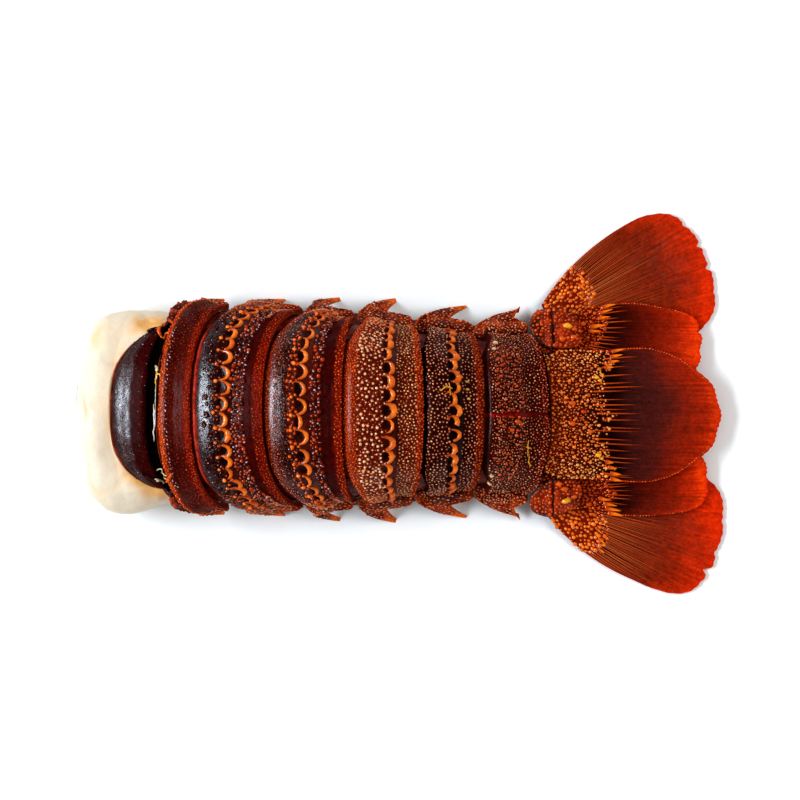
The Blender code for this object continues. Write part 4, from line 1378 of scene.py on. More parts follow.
def blade_grids(spec, across, along):
    """Upper and lower points of a uropod blade."""
    rim_x, rim_y = blade_outline(spec, across)
    share = (across + 1) / 2
    base_x = spec["inner"][0] + (spec["outer"][0] - spec["inner"][0]) * share
    base_y = spec["inner"][1] + (spec["outer"][1] - spec["inner"][1]) * share
    turn = 1.0 if spec["angles"][1] > spec["angles"][0] else -1.0
    run_x, run_y = rim_x - base_x, rim_y - base_y
    length = np.hypot(run_x, run_y)
    a = along[:, None]
    swell = spec["bulge"] * 4 * a * (1 - a) * (across * np.abs(across))[None, :]
    x = base_x[None, :] + a * run_x - turn * swell * run_y / length
    y = base_y[None, :] + a * run_y + turn * swell * run_x / length
    hard = 1 - smoothstep(0.32, 0.46, a)
    hard = hard * smoothstep(0.15, 0.55, across)[None, :]
    lift = BASE_LIFT * hard * np.sin(math.pi * np.minimum(1.0, 0.2 + a))
    height = fan_height(x, y) + LAYER * spec["layer"]
    thin = (BLADE - BLADE_RIM) * smoothstep(0.8, 1.0, a)
    upper = stacked(x, y, height + BLADE + lift - RIM_FROM_TOP * thin)
    lower = stacked(x, y, height + (1 - RIM_FROM_TOP) * thin)
    return upper, lower


def telson_ends(across):
    """Where the middle blade begins and ends at places across it."""
    front = TELSON_FRONT - 2.0 * np.abs(across) ** 2.5
    margin = TELSON_CORNER + (TELSON_TIP - TELSON_CORNER) * (1 - np.abs(across) ** 2.2) ** 0.62
    return front, margin + TELSON_END_RIPPLE * np.cos(across * 14.0) + 0.12 * np.cos(across * 83.0) - 0.12


def telson_grids(across, along):
    """Upper and lower points of the middle blade."""
    front, margin = telson_ends(across)
    a = along[:, None]
    x = front[None, :] + a * (margin - front)[None, :]
    half = TELSON_HALF_WIDTH + 0.9 * smoothstep(50.0, 62.0, x) - 1.6 * (1 - smoothstep(38.0, 42.0, x))
    y = midline(x) + across[None, :] * half
    hard = 1 - smoothstep(0.34, 0.44, a)
    thin = (BLADE - BLADE_RIM) * smoothstep(0.85, 1.0, a)
    lift = BASE_LIFT * hard * (1 - 0.6 * across[None, :] ** 4)
    top = fan_height(x, y) + LAYER + BLADE + lift - RIM_FROM_TOP * thin
    inner = (1 - smoothstep(0.3, 0.5, np.abs(across)))[None, :] * (1 - smoothstep(0.12, 0.26, a))
    base = (TELSON_BASE_THICKNESS - BLADE) * inner
    bottom = fan_height(x, y) + LAYER - base + (1 - RIM_FROM_TOP) * thin
    return stacked(x, y, top), stacked(x, y, bottom)


# Each blade's looks: where its hard base ends in its middle and how that slants, as shares of its length; the
# number, reach and thickness of the thin ribs that run on from it; the tones of the granules on the base; and
# tints from base to rim, counted from the end of the base.
BLADE_LOOKS = {
    "telson": dict(hard=(0.0, 0.0), ribs=23, reach=0.3, rib_fat=0.2,
        rough=("bright", "rust"), tints=(
        (-0.4, (104, 34, 16)), (-0.14, (74, 25, 14)), (-0.04, (34, 13, 11)), (0.01, (30, 11, 9)),
        (0.08, (40, 14, 12)), (0.18, (80, 34, 30)), (0.34, (100, 38, 30)), (0.46, (138, 42, 18)),
        (0.56, (158, 46, 15)), (0.62, (178, 54, 14)), (0.64, (202, 66, 16)),
    )),
    "endopod_left": dict(hard=(0.3, 0.08), ribs=15, reach=0.22, rib_fat=0.2,
        rough=("orange", "rust"), tints=(
        (-0.4, (110, 36, 15)), (-0.02, (92, 28, 12)), (0.02, (34, 11, 8)), (0.14, (66, 20, 10)),
        (0.3, (112, 32, 12)), (0.46, (146, 42, 12)), (0.58, (184, 54, 12)), (0.66, (222, 72, 14)),
    )),
    "endopod_right": dict(hard=(0.34, 0.06), ribs=15, reach=0.2, rib_fat=0.2,
        rough=("orange", "rust"), tints=(
        (-0.4, (110, 36, 15)), (-0.02, (92, 28, 12)), (0.02, (36, 12, 8)), (0.14, (70, 21, 10)),
        (0.3, (116, 33, 12)), (0.46, (146, 42, 12)), (0.58, (184, 54, 12)), (0.62, (222, 72, 14)),
    )),
    "exopod_left": dict(hard=(0.27, 0.09), ribs=76, reach=0.6, rib_fat=0.07,
        rough=("bright", "rust"), tints=(
        (-0.4, (128, 42, 16)), (-0.02, (112, 36, 14)), (0.02, (34, 13, 10)), (0.08, (94, 33, 19)),
        (0.3, (130, 46, 23)), (0.46, (142, 47, 19)), (0.56, (164, 50, 15)), (0.66, (184, 52, 12)),
        (0.72, (204, 58, 13)),
    )),
    "exopod_right": dict(hard=(0.31, 0.14), ribs=76, reach=0.56, rib_fat=0.07,
        rough=("bright", "orange"), tints=(
        (-0.4, (128, 42, 16)), (-0.02, (112, 36, 14)), (0.02, (34, 13, 10)), (0.1, (90, 32, 19)),
        (0.28, (130, 45, 23)), (0.42, (144, 47, 19)), (0.54, (168, 50, 15)), (0.62, (186, 52, 12)),
        (0.68, (204, 58, 13)),
    )),
}


def hard_end(name, across):
    """How far along a blade its hard base ends, at places across it."""
    if name == "telson":
        front, margin = telson_ends(across)
        return (TELSON_HARD_X + 1.1 * np.abs(across) ** 6 - front) / (margin - front)
    middle, slant = BLADE_LOOKS[name]["hard"]
    return middle + slant * across


def blade_tints(name, points, across, along, glow):
    """Tints of a blade: from its hard base to its rim, streaked by its fine rays."""
    streak = noise(stacked(across[None, :] * 44, along[:, None] * 2.0, 0.0), 1.0, 21, 2)
    past = along[:, None] - hard_end(name, across)[None, :]
    soft = smoothstep(0.0, 0.1, past)
    shifted = past + 0.035 * streak * soft
    shifted = shifted + 0.045 * noise(points, 7.0, 22) * (1 - smoothstep(0.86, 1.0, along))[:, None]
    tints = ramp(shifted, BLADE_LOOKS[name]["tints"])
    tints = tints * (1 + 0.12 * streak * soft + 0.2 * noise(points, 1.2, 23, 2))[..., None]
    tints = mixed(tints, toned("blade halo"), 0.35 * glow)
    # Painted shadow: the middle blade's front edge, in the gap under the last segment, is painted dark.
    if name == "telson":
        tints = mixed(tints, toned("dark"), smoothstep(0.026, 0.012, along)[:, None] + 0 * glow)
    side = smoothstep(0.965, 0.995, np.abs(across))[None, :] * smoothstep(0.3, 0.5, along)[:, None]
    rim = np.maximum(side, smoothstep(0.982, 0.995, along)[:, None])
    return mixed(tints, toned("blade rim"), 0.7 * rim)


def add_ribs(heap, name, skin, rng):
    """Thin pale ribs that run from the hard base into the soft part and fade there."""
    look = BLADE_LOOKS[name]
    columns, last = skin.points.shape[1] - 1, len(skin.rows) - 1
    for k in range(look["ribs"]):
        place = (k + 0.5 + 0.2 * rng.standard_normal()) / look["ribs"]
        start = hard_end(name, 2 * place - 1) - 0.035 + 0.03 * rng.uniform(-1.2, 1.2)
        t = np.linspace(0.0, 1.0, 9)
        rows = np.minimum(start + look["reach"] * rng.uniform(0.6, 1.0) * t, 0.97) * last
        spots = skin.spots(rows, np.full(len(t), np.clip(place, 0.01, 0.99) * columns))
        fat = look["rib_fat"] * rng.uniform(0.7, 1.1) * (1 - t**2) + 0.05
        pale = "orange" if look["rib_fat"] > 0.15 else "ray"
        tone = mixed(toned(pale), toned("rust"), 0.2 + 0.6 * rng.random())
        tones = mixed(tone, toned("rib end"), t**2.5)
        heap.tube(spots["place"], spots["normal"], fat, fat * 0.8, tones, sides=6)


# Spines along the ends of the hard bases, each from its root to its tip in the photograph's pixels.
SPINES = {
    "telson": (((612, 352), (625, 349)), ((610, 357), (623, 355)), ((608, 363), (620, 361)),
               ((604, 368), (614, 368)), ((611, 479), (623, 481)), ((610, 473), (622, 475)),
               ((608, 467), (618, 468)), ((606, 461), (614, 462))),
    "endopod_left": (((602, 308), (617, 304)), ((600, 313), (614, 310)), ((598, 319), (611, 317)),
                     ((590, 327), (608, 325)), ((588, 331), (602, 331))),
    "endopod_right": (((608, 513), (624, 517)), ((606, 508), (622, 511)), ((604, 503), (618, 505)),
                      ((600, 498), (611, 500))),
    "exopod_left": (((578, 273), (585, 280)), ((579, 283), (586, 289)), ((579, 293), (585, 299))),
    "exopod_right": (((597, 529), (603, 535)), ((600, 539), (606, 545)), ((600, 549), (606, 554))),
}
SPINE_ROOT = {
    "telson": 0.72, "endopod_left": 0.7, "endopod_right": 0.7, "exopod_left": 0.4, "exopod_right": 0.4,
}


# Small red teeth along blades: the side edges they follow, how far along they start, and how far they go
# round the end.
TEETH = {
    "telson": ((-0.985, 0.985), 0.66, 0.55),
    "endopod_left": ((0.98,), 0.42, 0.15),
    "endopod_right": ((0.98,), 0.46, 0.15),
}


def add_teeth(heap, name, skin, rng):
    """A row of small teeth along a blade's side edges."""
    if name not in TEETH:
        return
    edges, start, reach = TEETH[name]
    columns, last = skin.points.shape[1] - 1, len(skin.rows) - 1
    for edge in edges:
        t = np.linspace(0.0, 1.0, 80)
        side = (np.full(80, edge), start + (0.98 - start) * t)
        end = (edge * (1 - reach * t), np.full(80, 0.985))
        for across, along in (side, end):
            path = skin.spots(along * last, (across + 1) / 2 * columns)
            run = np.concatenate([[0.0], np.cumsum(np.linalg.norm(np.diff(path["place"], axis=0), axis=1))])
            even = np.interp(np.arange(0.4, run[-1], 0.78), run, t)
            rows = np.interp(even, t, along * last)
            spots = skin.spots(rows, np.interp(even, t, (across + 1) / 2 * columns))
            grow(heap, spots, 0.28, 0.8, ("orange", "red"), rng, stretch=1.3)


def add_spines(heap, name, skin, rng):
    """Short pointed spines that lie flat over the start of the soft part."""
    for root, tip in SPINES[name]:
        (i, j), (m, n) = skin.near(*root), skin.near(*tip)
        t = np.linspace(0.0, 1.0, 8)
        spots = skin.spots(i + (m - i) * t, j + (n - j) * t)
        fat = SPINE_ROOT[name] * rng.uniform(0.75, 1.15) * (1 - t) ** 0.75 + 0.06
        lift = spots["normal"] * (0.25 + 0.5 * t * (1 - 0.4 * t))[:, None]
        tones = mixed(toned("rust"), toned("spine tip"), smoothstep(0.0, 0.5, t))
        heap.tube(spots["place"] + lift, spots["normal"], fat, fat * 0.55, tones)


# Larger knobs on each skin, most at the limbs' joints: pixel across, pixel down, radius and tone.
KNOBS = {
    "protopod_left": (
        (568, 326, 1.15, "yellow"), (563, 339, 0.9, "orange"), (574, 337, 0.85, "orange"),
        (561, 320, 0.8, "rust"), (575, 329, 0.7, "orange"), (556, 345, 0.9, "rust"),
    ),
    "protopod_right": (
        (567, 501, 1.15, "yellow"), (565, 489, 0.95, "orange"), (559, 484, 0.8, "orange"),
        (575, 497, 0.75, "orange"), (557, 493, 0.8, "rust"),
    ),
    "telson": (
        (597, 377, 0.75, "yellow"), (600, 381, 0.6, "yellow"), (598, 455, 0.8, "yellow"),
        (602, 459, 0.6, "yellow"), (573, 403, 0.95, "orange"), (572, 424, 0.9, "orange"),
        (588, 396, 0.7, "orange"), (591, 432, 0.7, "orange"), (584, 412, 0.8, "rust"),
    ),
    "endopod_left": (
        (583, 324, 0.8, "orange"),
    ),
    "endopod_right": (
        (590, 505, 0.8, "orange"),
    ),
    "tergite_6": (
        (495, 343, 0.8, "pale"), (494, 349, 0.6, "pale"), (490, 483, 0.8, "pale"),
        (492, 476, 0.65, "pale"), (517, 422, 0.85, "orange"), (512, 430, 0.75, "orange"),
    ),
    "tergite_5": (
        (467, 382, 0.52, "olive"), (467, 390, 0.5, "olive"), (468, 399, 0.5, "olive"),
    ),
}


def add_knobs(heap, skins, rng):
    """The knobs, each one large dome."""
    for name, knobs in KNOBS.items():
        for pixel_x, pixel_y, radius, tone in knobs:
            i, j = skins[name].near(pixel_x, pixel_y)
            spots = skins[name].spots(np.array([float(i)]), np.array([float(j)]))
            heap.domes(spots, 0.78 * radius, 0.9, toned(tone), rng, stretch=1.5, big=True)


# Where water shines on the blades: pixel across, pixel down, size in mm and strength.
SHINES = (
    (655, 245, 6.0, 1.5), (676, 280, 5.0, 2.0), (670, 262, 6.0, 1.4), (668, 345, 5.0, 0.5),
    (666, 405, 9.0, 0.7), (678, 528, 4.5, 2.0), (650, 520, 6.0, 0.8), (702, 556, 4.0, 0.8),
    (640, 505, 5.0, 0.6),
)
DRY_GLOSS = 0.1


def blade_gloss(points):
    """How glossy each place of a blade is."""
    gloss = np.full(points.shape[:2], DRY_GLOSS)
    for pixel_x, pixel_y, size, strength in SHINES:
        gloss = gloss + strength * spot_share(points, pixel_x, pixel_y, size)
    return gloss * (1 + 0.5 * noise(points, 1.2, 28, 2))


def add_blade_piece(name, grids, across, along, finish, granules, rng):
    """A blade of the fan with its fine rays in relief and what grows on it; returns its skin."""
    upper, lower = grids
    skin = Skin(upper, along)
    past = along[:, None] - hard_end(name, across)[None, :]
    soft = smoothstep(-0.02, 0.08, past)
    fine = noise(stacked(across[None, :] * 36, along[:, None] * 1.5, 0.0), 1.0, 27)
    relief = 0.1 * fine * soft + 0.07 * noise(upper, 1.2, 24, 2) + 0.22 * noise(upper, 9.0, 25)
    edge = smoothstep(1.0, 0.97, np.abs(across))[None, :] * smoothstep(0.0, 0.03, along)[:, None]
    skin.raise_by(relief * edge * smoothstep(1.0, 0.96, along)[:, None])
    glow = add_base_granules(granules, name, skin, rng)
    add_ribs(granules, name, skin, rng)
    add_spines(granules, name, skin, rng)
    add_teeth(granules, name, skin, rng)
    tints = blade_tints(name, skin.points, across, along, glow)
    below, back = lower[::ROW_GROUP], along[::ROW_GROUP, None]
    below_tints = ramp(back + 0.05 * noise(below, 3.0, 26), RAMPS["blade below"])
    place = stacked((across[None, :] + 1) / 2, along[:, None])
    uv = np.concatenate([place.reshape(-1, 2), place[::ROW_GROUP].reshape(-1, 2)])
    add_sheet(name + "_blade", skin.points, below, tints, below_tints, finish, name, uv=uv,
              gloss=blade_gloss(skin.points))
    return skin


def add_fan(finish, granules, rng):
    """The five blades; returns their skins by name."""
    across, along = np.linspace(-1.0, 1.0, FAN_COLUMNS), np.linspace(0.0, 1.0, FAN_ROWS)
    grids = {"telson": telson_grids(across, along)}
    grids.update({name: blade_grids(spec, across, along) for name, spec in BLADES.items()})
    skins = {}
    for name, pair in grids.items():
        skins[name] = add_blade_piece(name, pair, across, along, finish, granules, rng)
    return skins


# What covers the hard bases: distance between two, radius and height. The outer blades' are scales.
ROUGH = ((1.2, 0.42, 0.8), (0.7, 0.28, 0.7))
SCALES = ((0.84, 0.44, 0.7),)


def add_base_granules(granules, name, skin, rng):
    """Granules over the hard base of a blade; returns how close to one each place is."""
    look = BLADE_LOOKS[name]
    wander = (0.07 if name == "telson" else 0.02) * noise(skin.points, 2.0, 31)
    end = hard_end(name, np.linspace(-1.0, 1.0, skin.points.shape[1]))[None, :]
    start = 0.022 if name == "telson" else 0.02
    mask = ((skin.rows[:, None] + wander < end) & (skin.rows[:, None] > start)).astype(float)
    glow = np.zeros(mask.shape)
    first, second = look["rough"]
    for pitch, radius, height in SCALES if name.startswith("exopod") else ROUGH:
        spots = skin.scatter(mask, pitch, rng)
        count = len(spots["place"])
        sizes = radius * np.clip(1 + 0.22 * rng.standard_normal(count), 0.5, 1.5)
        tones = tones_between(first, second, count, rng)
        if name == "telson":
            x, y = spots["place"][:, 0], spots["place"][:, 1]
            outer = smoothstep(9.0, 14.0, np.abs(y - midline(x)))
            outer = np.maximum(outer, 0.7 * smoothstep(plan_x(580), plan_x(604), x))
            paler = 0.9 * (0.25 + 0.75 * outer) * rng.random(count)
            tones = mixed(tones, toned("telson fleck"), paler)
        granules.domes(spots, sizes, height, tones, rng, stretch=1.2, big=radius > BIG_RADIUS)
        skin.glow(glow, spots, radius)
    return glow


def limb_grids(rows):
    """Upper and lower points of a limb plate, domed over the bases of its two blades."""
    rows = np.array(rows)
    t = np.arange(len(rows))
    fine = np.linspace(0, len(rows) - 1, LIMB_STEPS + 1)
    row_x, inner, outer = (smooth_curve(t, rows[:, k], fine)[:, None] for k in range(3))
    across = np.linspace(0.0, 1.0, LIMB_STEPS + 1)[None, :]
    x = np.broadcast_to(row_x, (LIMB_STEPS + 1, LIMB_STEPS + 1))
    y = inner + (outer - inner) * across
    along = np.sin(math.pi * (fine[:, None] + 0.5) / len(rows)) ** 0.5
    dome = along * np.sin(math.pi * (0.06 + 0.88 * across)) ** 0.5
    base = fan_height(x, y) + LIMB_PLATE_LIFT - LIMB_PLATE_DROP * (1 - smoothstep(37.0, 41.0, x))
    root = 1 - smoothstep(35.2, 36.4, x)
    upper = stacked(x, y, base + LIMB_PLATE_EDGE + LIMB_PLATE_DOME * dome)
    lower = stacked(x, y, base - LIMB_ROOT_DROP * root)
    return upper, lower


LIMB_SEAM_X = 39.8


def add_limb_plates(finish, granules, rng):
    """The two limb plates, each with a seam across and coarse bumps; returns their skins."""
    skins = {}
    for name, rows in LIMB_PLATES.items():
        upper, lower = limb_grids(rows)
        skin = Skin(upper, np.arange(len(upper), dtype=float))
        x = upper[..., 0]
        seam = hump(x + 0.5 * noise(upper, 3.0, 41), LIMB_SEAM_X, 0.42)
        across = np.linspace(0.0, 1.0, x.shape[1])
        edge = np.minimum(1.0, 6 * np.minimum(across, across[::-1]))[None, :]
        skin.raise_by((0.2 * noise(upper, 2.4, 42, 2) - 0.7 * seam) * edge)
        tints = ramp(noise(skin.points, 2.0, 43, 2), RAMPS["limb plate"])
        tints = mixed(tints, toned("dark"), 0.9 * seam)
        spots = skin.scatter(np.broadcast_to(edge, x.shape) * (seam < 0.25), 0.86, rng)
        grow(granules, spots, 0.42, 0.7, ("orange", "rust"), rng, vary=0.3, stretch=1.15)
        below = lower[::ROW_GROUP]
        below_tints = np.broadcast_to(toned("limb inside"), below.shape)
        add_sheet(name + "_plate", skin.points, below, tints, below_tints, finish, name)
        skins[name] = skin
    return skins


# Meat, underside and swimmerets

def meat_floor(x):
    """The least height of the meat along the body."""
    return np.interp(x, MEAT_FLOOR_U, MEAT_FLOOR_Z)


def meat_surface(u, turn, sink):
    """Points on the meat: over its arched back, or on its flat underside past a quarter turn."""
    side = np.where(turn <= math.pi, 1.0, -1.0)
    angle = np.minimum(turn, 2 * math.pi - turn)
    arch = np.minimum(angle, math.pi / 2)
    bulge = np.clip((MEAT_SHOULDER - u) / (MEAT_SHOULDER - MEAT_FRONT), 0.0, 0.97)
    taper = (1 - bulge**MEAT_BULGE_POWER) ** (1 / MEAT_BULGE_POWER)
    station = np.maximum(u, MEAT_SHOULDER)
    _, _, spring, lean = body(station)
    low = meat_floor(u)
    x, y, z = arch_point(station, arch, side, sink)
    at_nose = smoothstep(MEAT_FRONT, MEAT_SHOULDER + 8.0, u)
    x = u + (x - station) * (0.2 + 0.8 * at_nose)
    y = y * taper
    under = angle > math.pi / 2
    drop = np.sin(np.maximum(angle - math.pi / 2, 0.0))
    y = np.where(under, y * np.abs(np.cos(angle - math.pi / 2)) ** 0.45, y)
    x = np.where(under, x - lean * 0.8 * drop * at_nose, x)
    z = np.where(under, spring - (spring - low) * np.minimum(1.0, 1.3 * drop), z)
    z = MEAT_NOSE_Z + (z - MEAT_NOSE_Z) * (0.35 + 0.65 * taper)
    return stacked(x, y + midline(x), np.maximum(z, low))


def meat_loops():
    """Rings of points from the cut end back to under the last segment; the number of them that show."""
    turns = 2 * math.pi * np.arange(MEAT_STEPS) / MEAT_STEPS
    edges = facet_front(np.minimum(np.minimum(turns, 2 * math.pi - turns), math.pi / 2))
    bare = MEAT_BARE + MEAT_SIDE_BULGE * np.sin(turns) ** 4
    rim = MEAT_BARE - MEAT_RIM_DIP
    shares = MEAT_NOSE_SHARE + (1.0 - MEAT_NOSE_SHARE) * np.linspace(0, 1, MEAT_ROWS) ** 1.4
    loops = []
    for share in shares:
        sink = bare + (rim - bare) * smoothstep(0.45, 1.0, share)
        loops.append(meat_surface(MEAT_FRONT + (edges - MEAT_RIM_GAP - MEAT_FRONT) * share, turns, sink))
    nose = loops[0]
    middle = nose.mean(axis=0)
    caps = []
    for shrink in np.linspace(0.05, 0.95, MEAT_NOSE_RINGS):
        ring = middle + (nose - middle) * shrink
        caps.append(ring - np.array([0.7 * (1 - shrink**2), 0.0, 0.0]))
    shown = caps + loops
    under_facet = [edges - 0.06, edges + (MEAT_CORE - edges) * 0.5 - 0.06, np.full_like(turns, MEAT_CORE)]
    hidden = [meat_surface(u, turns, MEAT_UNDER_FACET) for u in under_facet]
    for u in (-57.0, *np.linspace(-50.0, MEAT_REAR, 18)):
        hidden.append(meat_surface(np.full_like(turns, u), turns, MEAT_SINK))
    return np.array(shown + hidden), len(shown)


# Dents in the cut end's outline and folds beside the facet: pixel across, pixel down, width and depth in mm.
MEAT_DENTS = (
    (76, 350, 3.0, 1.1), (79, 470, 3.4, 1.1), (96, 405, 2.4, 0.5), (146, 322, 2.2, 0.8), (150, 486, 2.4, 0.8),
)
# Yellow stains where the shell was torn away: pixel across, pixel down, width in mm and strength.
MEAT_STAINS = ((140, 322, 2.0, 0.9), (150, 327, 2.2, 0.8), (158, 320, 2.4, 0.6), (133, 330, 1.6, 0.4),
               (128, 462, 1.8, 0.5), (140, 478, 2.2, 0.8), (152, 486, 2.4, 0.9), (164, 488, 2.2, 0.6))


def add_meat(finish):
    """The tail meat with its soft lobes, fibres and creases."""
    loops, shown = meat_loops()
    rows, columns = loops.shape[:2]
    wrapped = np.concatenate([loops, loops[:, :1]], axis=1)
    along, across = np.gradient(wrapped, axis=0)[:, :-1], np.gradient(wrapped, axis=1)[:, :-1]
    normal = np.cross(along, across)
    normal /= np.maximum(np.linalg.norm(normal, axis=-1), 1e-9)[..., None]
    outward = loops - loops.mean(axis=1, keepdims=True)
    if (normal * outward).sum() < 0:
        normal = -normal
    bare = smoothstep(shown + 1, shown - 4, np.arange(rows))[:, None]
    crease = hump(noise(loops, 11.0, 51, 2), 0.0, 0.09) * smoothstep(-0.1, 0.5, noise(loops, 9.0, 56))
    crease = crease * smoothstep(12, 30, np.arange(rows))[:, None]
    relief = 1.0 * noise(loops, 12.0, 52) + 0.3 * noise(loops, 4.0, 53, 2) - 0.4 * crease
    dent = np.zeros((rows, columns))
    for pixel_x, pixel_y, width, depth in MEAT_DENTS:
        dent += depth * spot_share(loops, pixel_x, pixel_y, width)
    points = loops + normal * ((relief - dent) * bare)[..., None]
    points[..., 2] = np.maximum(points[..., 2], meat_floor(loops[..., 0]))
    yellow = np.clip(0.3 * crease + 0.2 * dent + 0.2 * noise(loops, 9.0, 54), 0.0, 1.0)
    blotches = 0.75 + 0.8 * noise(loops, 2.0, 57, 2)
    for pixel_x, pixel_y, width, strength in MEAT_STAINS:
        yellow = yellow + strength * spot_share(loops, pixel_x, pixel_y, width) * blotches
    rim = hump(np.arange(rows), shown - 2, 9)[:, None] * (0.3 + 0.25 * noise(loops, 5.0, 55))
    tints = mixed(toned("meat"), toned("crease"), np.clip(yellow + rim, 0, 1))
    quads = grid_quads(rows, columns, 0)
    last = np.arange(rows - 1) * columns + columns - 1
    seam = np.stack([last, last - columns + 1, last + 1, last + columns], axis=1)
    k = np.arange(columns)
    tips = rows * columns
    ends = [stacked(tips, k, (k + 1) % columns),
            stacked(tips + 1, (k + 1) % columns + tips - columns, k + tips - columns)]
    centres = np.stack([points[0].mean(axis=0) - np.array([0.02, 0, 0]), points[-1].mean(axis=0)])
    points = np.concatenate([points.reshape(-1, 3), centres])
    tints = np.concatenate([tints.reshape(-1, 3), tints[[0, -1], 0]])
    add_mesh("tail_meat", points, [quads, seam, *ends], tints, finish, "meat", sharp=0)


def add_underside(finish):
    """The skin under the meat, stiffened by cross ribs and wrinkled between them."""
    xs = spaced(UNDERSIDE_FRONT, UNDERSIDE_REAR)
    middle = 0.5 * (UNDERSIDE_FRONT + UNDERSIDE_REAR)
    across = np.linspace(-1.0, 1.0, UNDERSIDE_COLUMNS)
    width, _, _, lean = body(xs)
    end = 0.99 * np.abs(xs - middle) / (UNDERSIDE_REAR - middle)
    half = (width - 5.4) * (1 - end**9) ** 0.45
    x = np.broadcast_to((xs + lean)[:, None], (len(xs), UNDERSIDE_COLUMNS))
    y = half[:, None] * across[None, :] + midline(xs + lean)[:, None]
    rib = sum(hump(xs, r, 0.7 * RIB_WIDTH) for r in RIB_X)
    top = np.broadcast_to((meat_floor(xs) - UNDERSIDE_GAP)[:, None], x.shape)
    below = top - UNDERSIDE_SKIN - RIB_DROP * rib[:, None] * (1 - 0.5 * across[None, :] ** 2)
    lower = stacked(x, y, below)
    wrinkle = 0.3 * noise(lower * np.array([2.2, 0.7, 1.0]), 4.0, 61, 2)
    edge = np.minimum(1.0, 8 * (1 - np.abs(across)))[None, :]
    lower[..., 2] += wrinkle * edge * (1 - 0.7 * rib[:, None])
    upper = stacked(x, y, top)[::ROW_GROUP]
    ribbed = np.clip(0.85 * rib[:, None] + 0.5 * np.abs(across[None, :]) ** 6, 0, 1)
    tints = mixed(ramp(noise(lower, 5.0, 62, 2), RAMPS["belly"]), toned("belly rib"), ribbed)
    upper_tints = np.broadcast_to(toned("inner"), upper.shape)
    add_sheet("belly_skin", lower, upper, tints, upper_tints, finish, "underside")


def add_swimmerets(finish):
    """Soft paddles folded back under the tail, veined, with fringed edges."""
    along = np.linspace(0.0, 1.0, 49)
    across = np.linspace(-1.0, 1.0, 37)
    for segment, root_x in SWIMMERET_ROOTS.items():
        for side_name, side in (("left", 1.0), ("right", -1.0)):
            lean = float(body(np.array(root_x))[3])
            root_z = float(meat_floor(root_x)) - UNDERSIDE_GAP - UNDERSIDE_SKIN - RIB_DROP - 0.9
            a = along[:, None]
            half = 0.5 * SWIMMERET_WIDTH * np.sin(math.pi * (0.1 + 0.83 * a)) ** 0.7
            half = half * (1 - 0.04 * (1 + np.cos(a * 70.0)) * smoothstep(0.2, 0.4, a))
            x = root_x + lean + SWIMMERET_LENGTH * a * 0.96
            y = midline(x) + side * (SWIMMERET_SIDE + 3.2 * a) + half * across[None, :]
            z = root_z - (root_z - 1.9) * a**0.8 + 0.35 * np.cos(across * 2.0)[None, :]
            branches = hump(np.mod(across[None, :] * 2 + a * 3, 1.0), 0.5, 0.12)
            vein = hump(across, 0.0, 0.12)[None, :] + 0.5 * branches
            upper = stacked(x, y, z)
            lower = upper - np.array([0.0, 0.0, SWIMMERET_SKIN])
            lower[..., 2] -= 0.12 * vein * (1 - across[None, :] ** 4)
            tints = ramp(noise(lower, 3.0, 71, 2) + 0.4 * vein, RAMPS["paddle"])
            name = f"swimmeret_{segment}_{side_name}"
            add_sheet(name + "_leaf", lower, upper[::ROW_GROUP], tints, tints[::ROW_GROUP], finish, name)


# Floor, light and camera

CAMERA_HEIGHT = 3000.0
FOCUS_HEIGHT = 20.0
SENSOR = 36.0
FLOOR_REACH = 2.5
FLOOR_COLOUR = (0.93, 0.93, 0.93, 1.0)
SKY_STRENGTH = 0.32


def add_light(name, place, size, power, colour):
    """A soft light of two sizes in metres that faces the tail."""
    data = bpy.data.lights.new(name, "AREA")
    data.shape = "RECTANGLE"
    data.size, data.size_y = size
    data.energy = power
    data.color = colour
    made = bpy.data.objects.new(name, data)
    made.location = place
    made.rotation_euler = (-Vector(place)).to_track_quat("-Z", "Y").to_euler()
    bpy.context.scene.collection.objects.link(made)
    return made


def add_floor():
    """A plain pale floor."""
    mesh = bpy.data.meshes.new("floor")
    corners = [(x * FLOOR_REACH, y * FLOOR_REACH, 0) for x, y in ((-1, -1), (1, -1), (1, 1), (-1, 1))]
    mesh.from_pydata(corners, [], [(0, 1, 2, 3)])
    made, _, _, shader = node_material("pale_floor")
    shader.inputs["Base Color"].default_value = FLOOR_COLOUR
    shader.inputs["Roughness"].default_value = 0.9
    shader.inputs["Specular IOR Level"].default_value = 0.1
    mesh.materials.append(made)
    floor = bpy.data.objects.new("floor", mesh)
    bpy.context.scene.collection.objects.link(floor)


def add_sky(scene):
    """A soft even sky that doesn't show in the gloss, and plain contrasty colours."""
    world = bpy.data.worlds.new("soft_sky")
    world.use_nodes = True
    background = world.node_tree.nodes["Background"]
    background.inputs["Color"].default_value = (1.0, 1.0, 1.0, 1.0)
    background.inputs["Strength"].default_value = SKY_STRENGTH
    world.cycles_visibility.glossy = False
    scene.world = world
    scene.view_settings.view_transform = "Standard"
    scene.view_settings.look = "High Contrast"


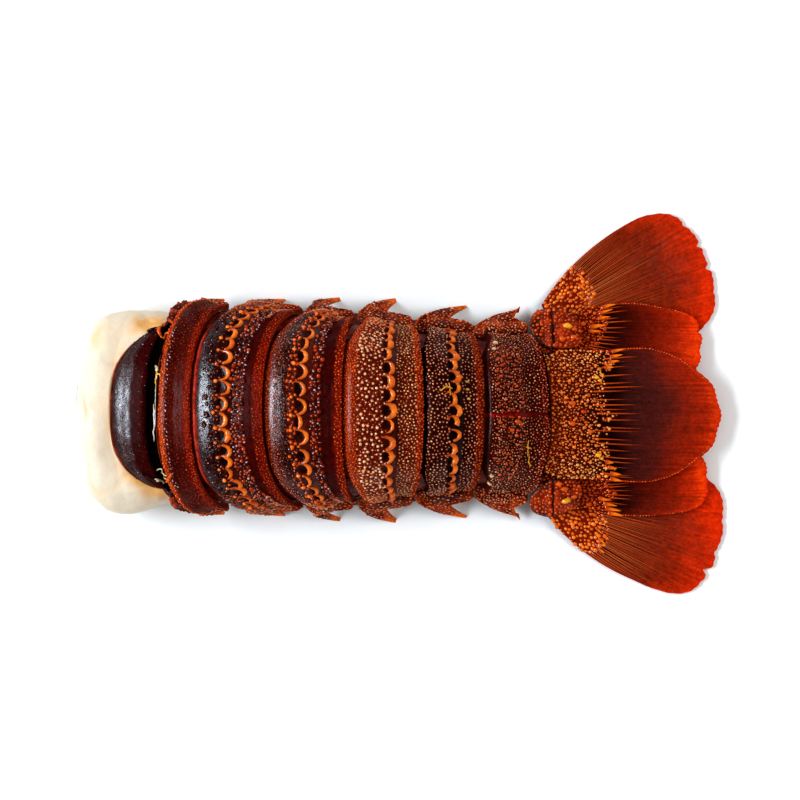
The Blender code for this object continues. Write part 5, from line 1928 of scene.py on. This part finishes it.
def add_camera(scene):
    """The camera high above the middle of the photograph."""
    data = bpy.data.cameras.new("camera")
    data.sensor_width = SENSOR
    data.lens = SENSOR * (CAMERA_HEIGHT - FOCUS_HEIGHT) / (IMAGE_SIZE * PIXEL)
    data.clip_end = 10.0
    camera = bpy.data.objects.new("camera", data)
    centre = np.array([plan_x(IMAGE_SIZE / 2), plan_y(IMAGE_SIZE / 2), CAMERA_HEIGHT])
    camera.location = (centre + np.array([SHIFT[0], SHIFT[1], 0.0])) * MM
    scene.collection.objects.link(camera)
    scene.camera = camera


def add_surroundings():
    """Floor, a key light from the left and a weak fill that gives no gloss, sky and camera."""
    add_floor()
    add_light("key", place=(-0.98, 0.02, 0.78), size=(1.0, 0.36), power=13.0, colour=(0.8, 0.91, 1.0))
    fill = add_light("fill", place=(0.7, 0.2, 1.0), size=(0.8, 0.6), power=4.6, colour=(1.0, 0.99, 0.98))
    fill.visible_glossy = False
    add_sky(bpy.context.scene)
    add_camera(bpy.context.scene)


def main():
    """The tail piece by piece, and its surroundings."""
    rng = np.random.default_rng(SEED)
    shell, granule, blade = shell_material(), granule_material(), fan_material()
    granules, rings = {"pale": Heap(), "dark": Heap()}, Heap()
    skins = add_segments(shell, granules, rings, rng)
    joints = Heap()
    add_joint_skins(joints)
    add_root_skins(joints, granules["dark"], rng)
    joints.piece("joint_skins", shell, "shell")
    scraps = Heap()
    add_scraps(scraps, granules["dark"], rng)
    scraps.piece("scraps", shell, "shell")
    # The pale heap holds the pale granules and the painted glints, pale specks that are painted highlights.
    granules["pale"].piece("pale_granules_and_painted_glints", granule, "shell")
    granules["dark"].piece("granules", granule, "shell")
    fan_granules = Heap()
    skins.update(add_fan(blade, fan_granules, rng))
    skins.update(add_limb_plates(shell, fan_granules, rng))
    add_knobs(fan_granules, skins, rng)
    fan_granules.piece("fan_granules", granule, "fan")
    rings.piece("half_rings", granule, "shell")
    bits = Heap()
    add_bits(bits, skins, rng)
    bits.piece("tissue_bits_and_painted_glint", granule, "shell")
    add_meat(meat_material())
    skin = skin_material()
    add_underside(skin)
    add_swimmerets(skin)
    add_surroundings()


main()
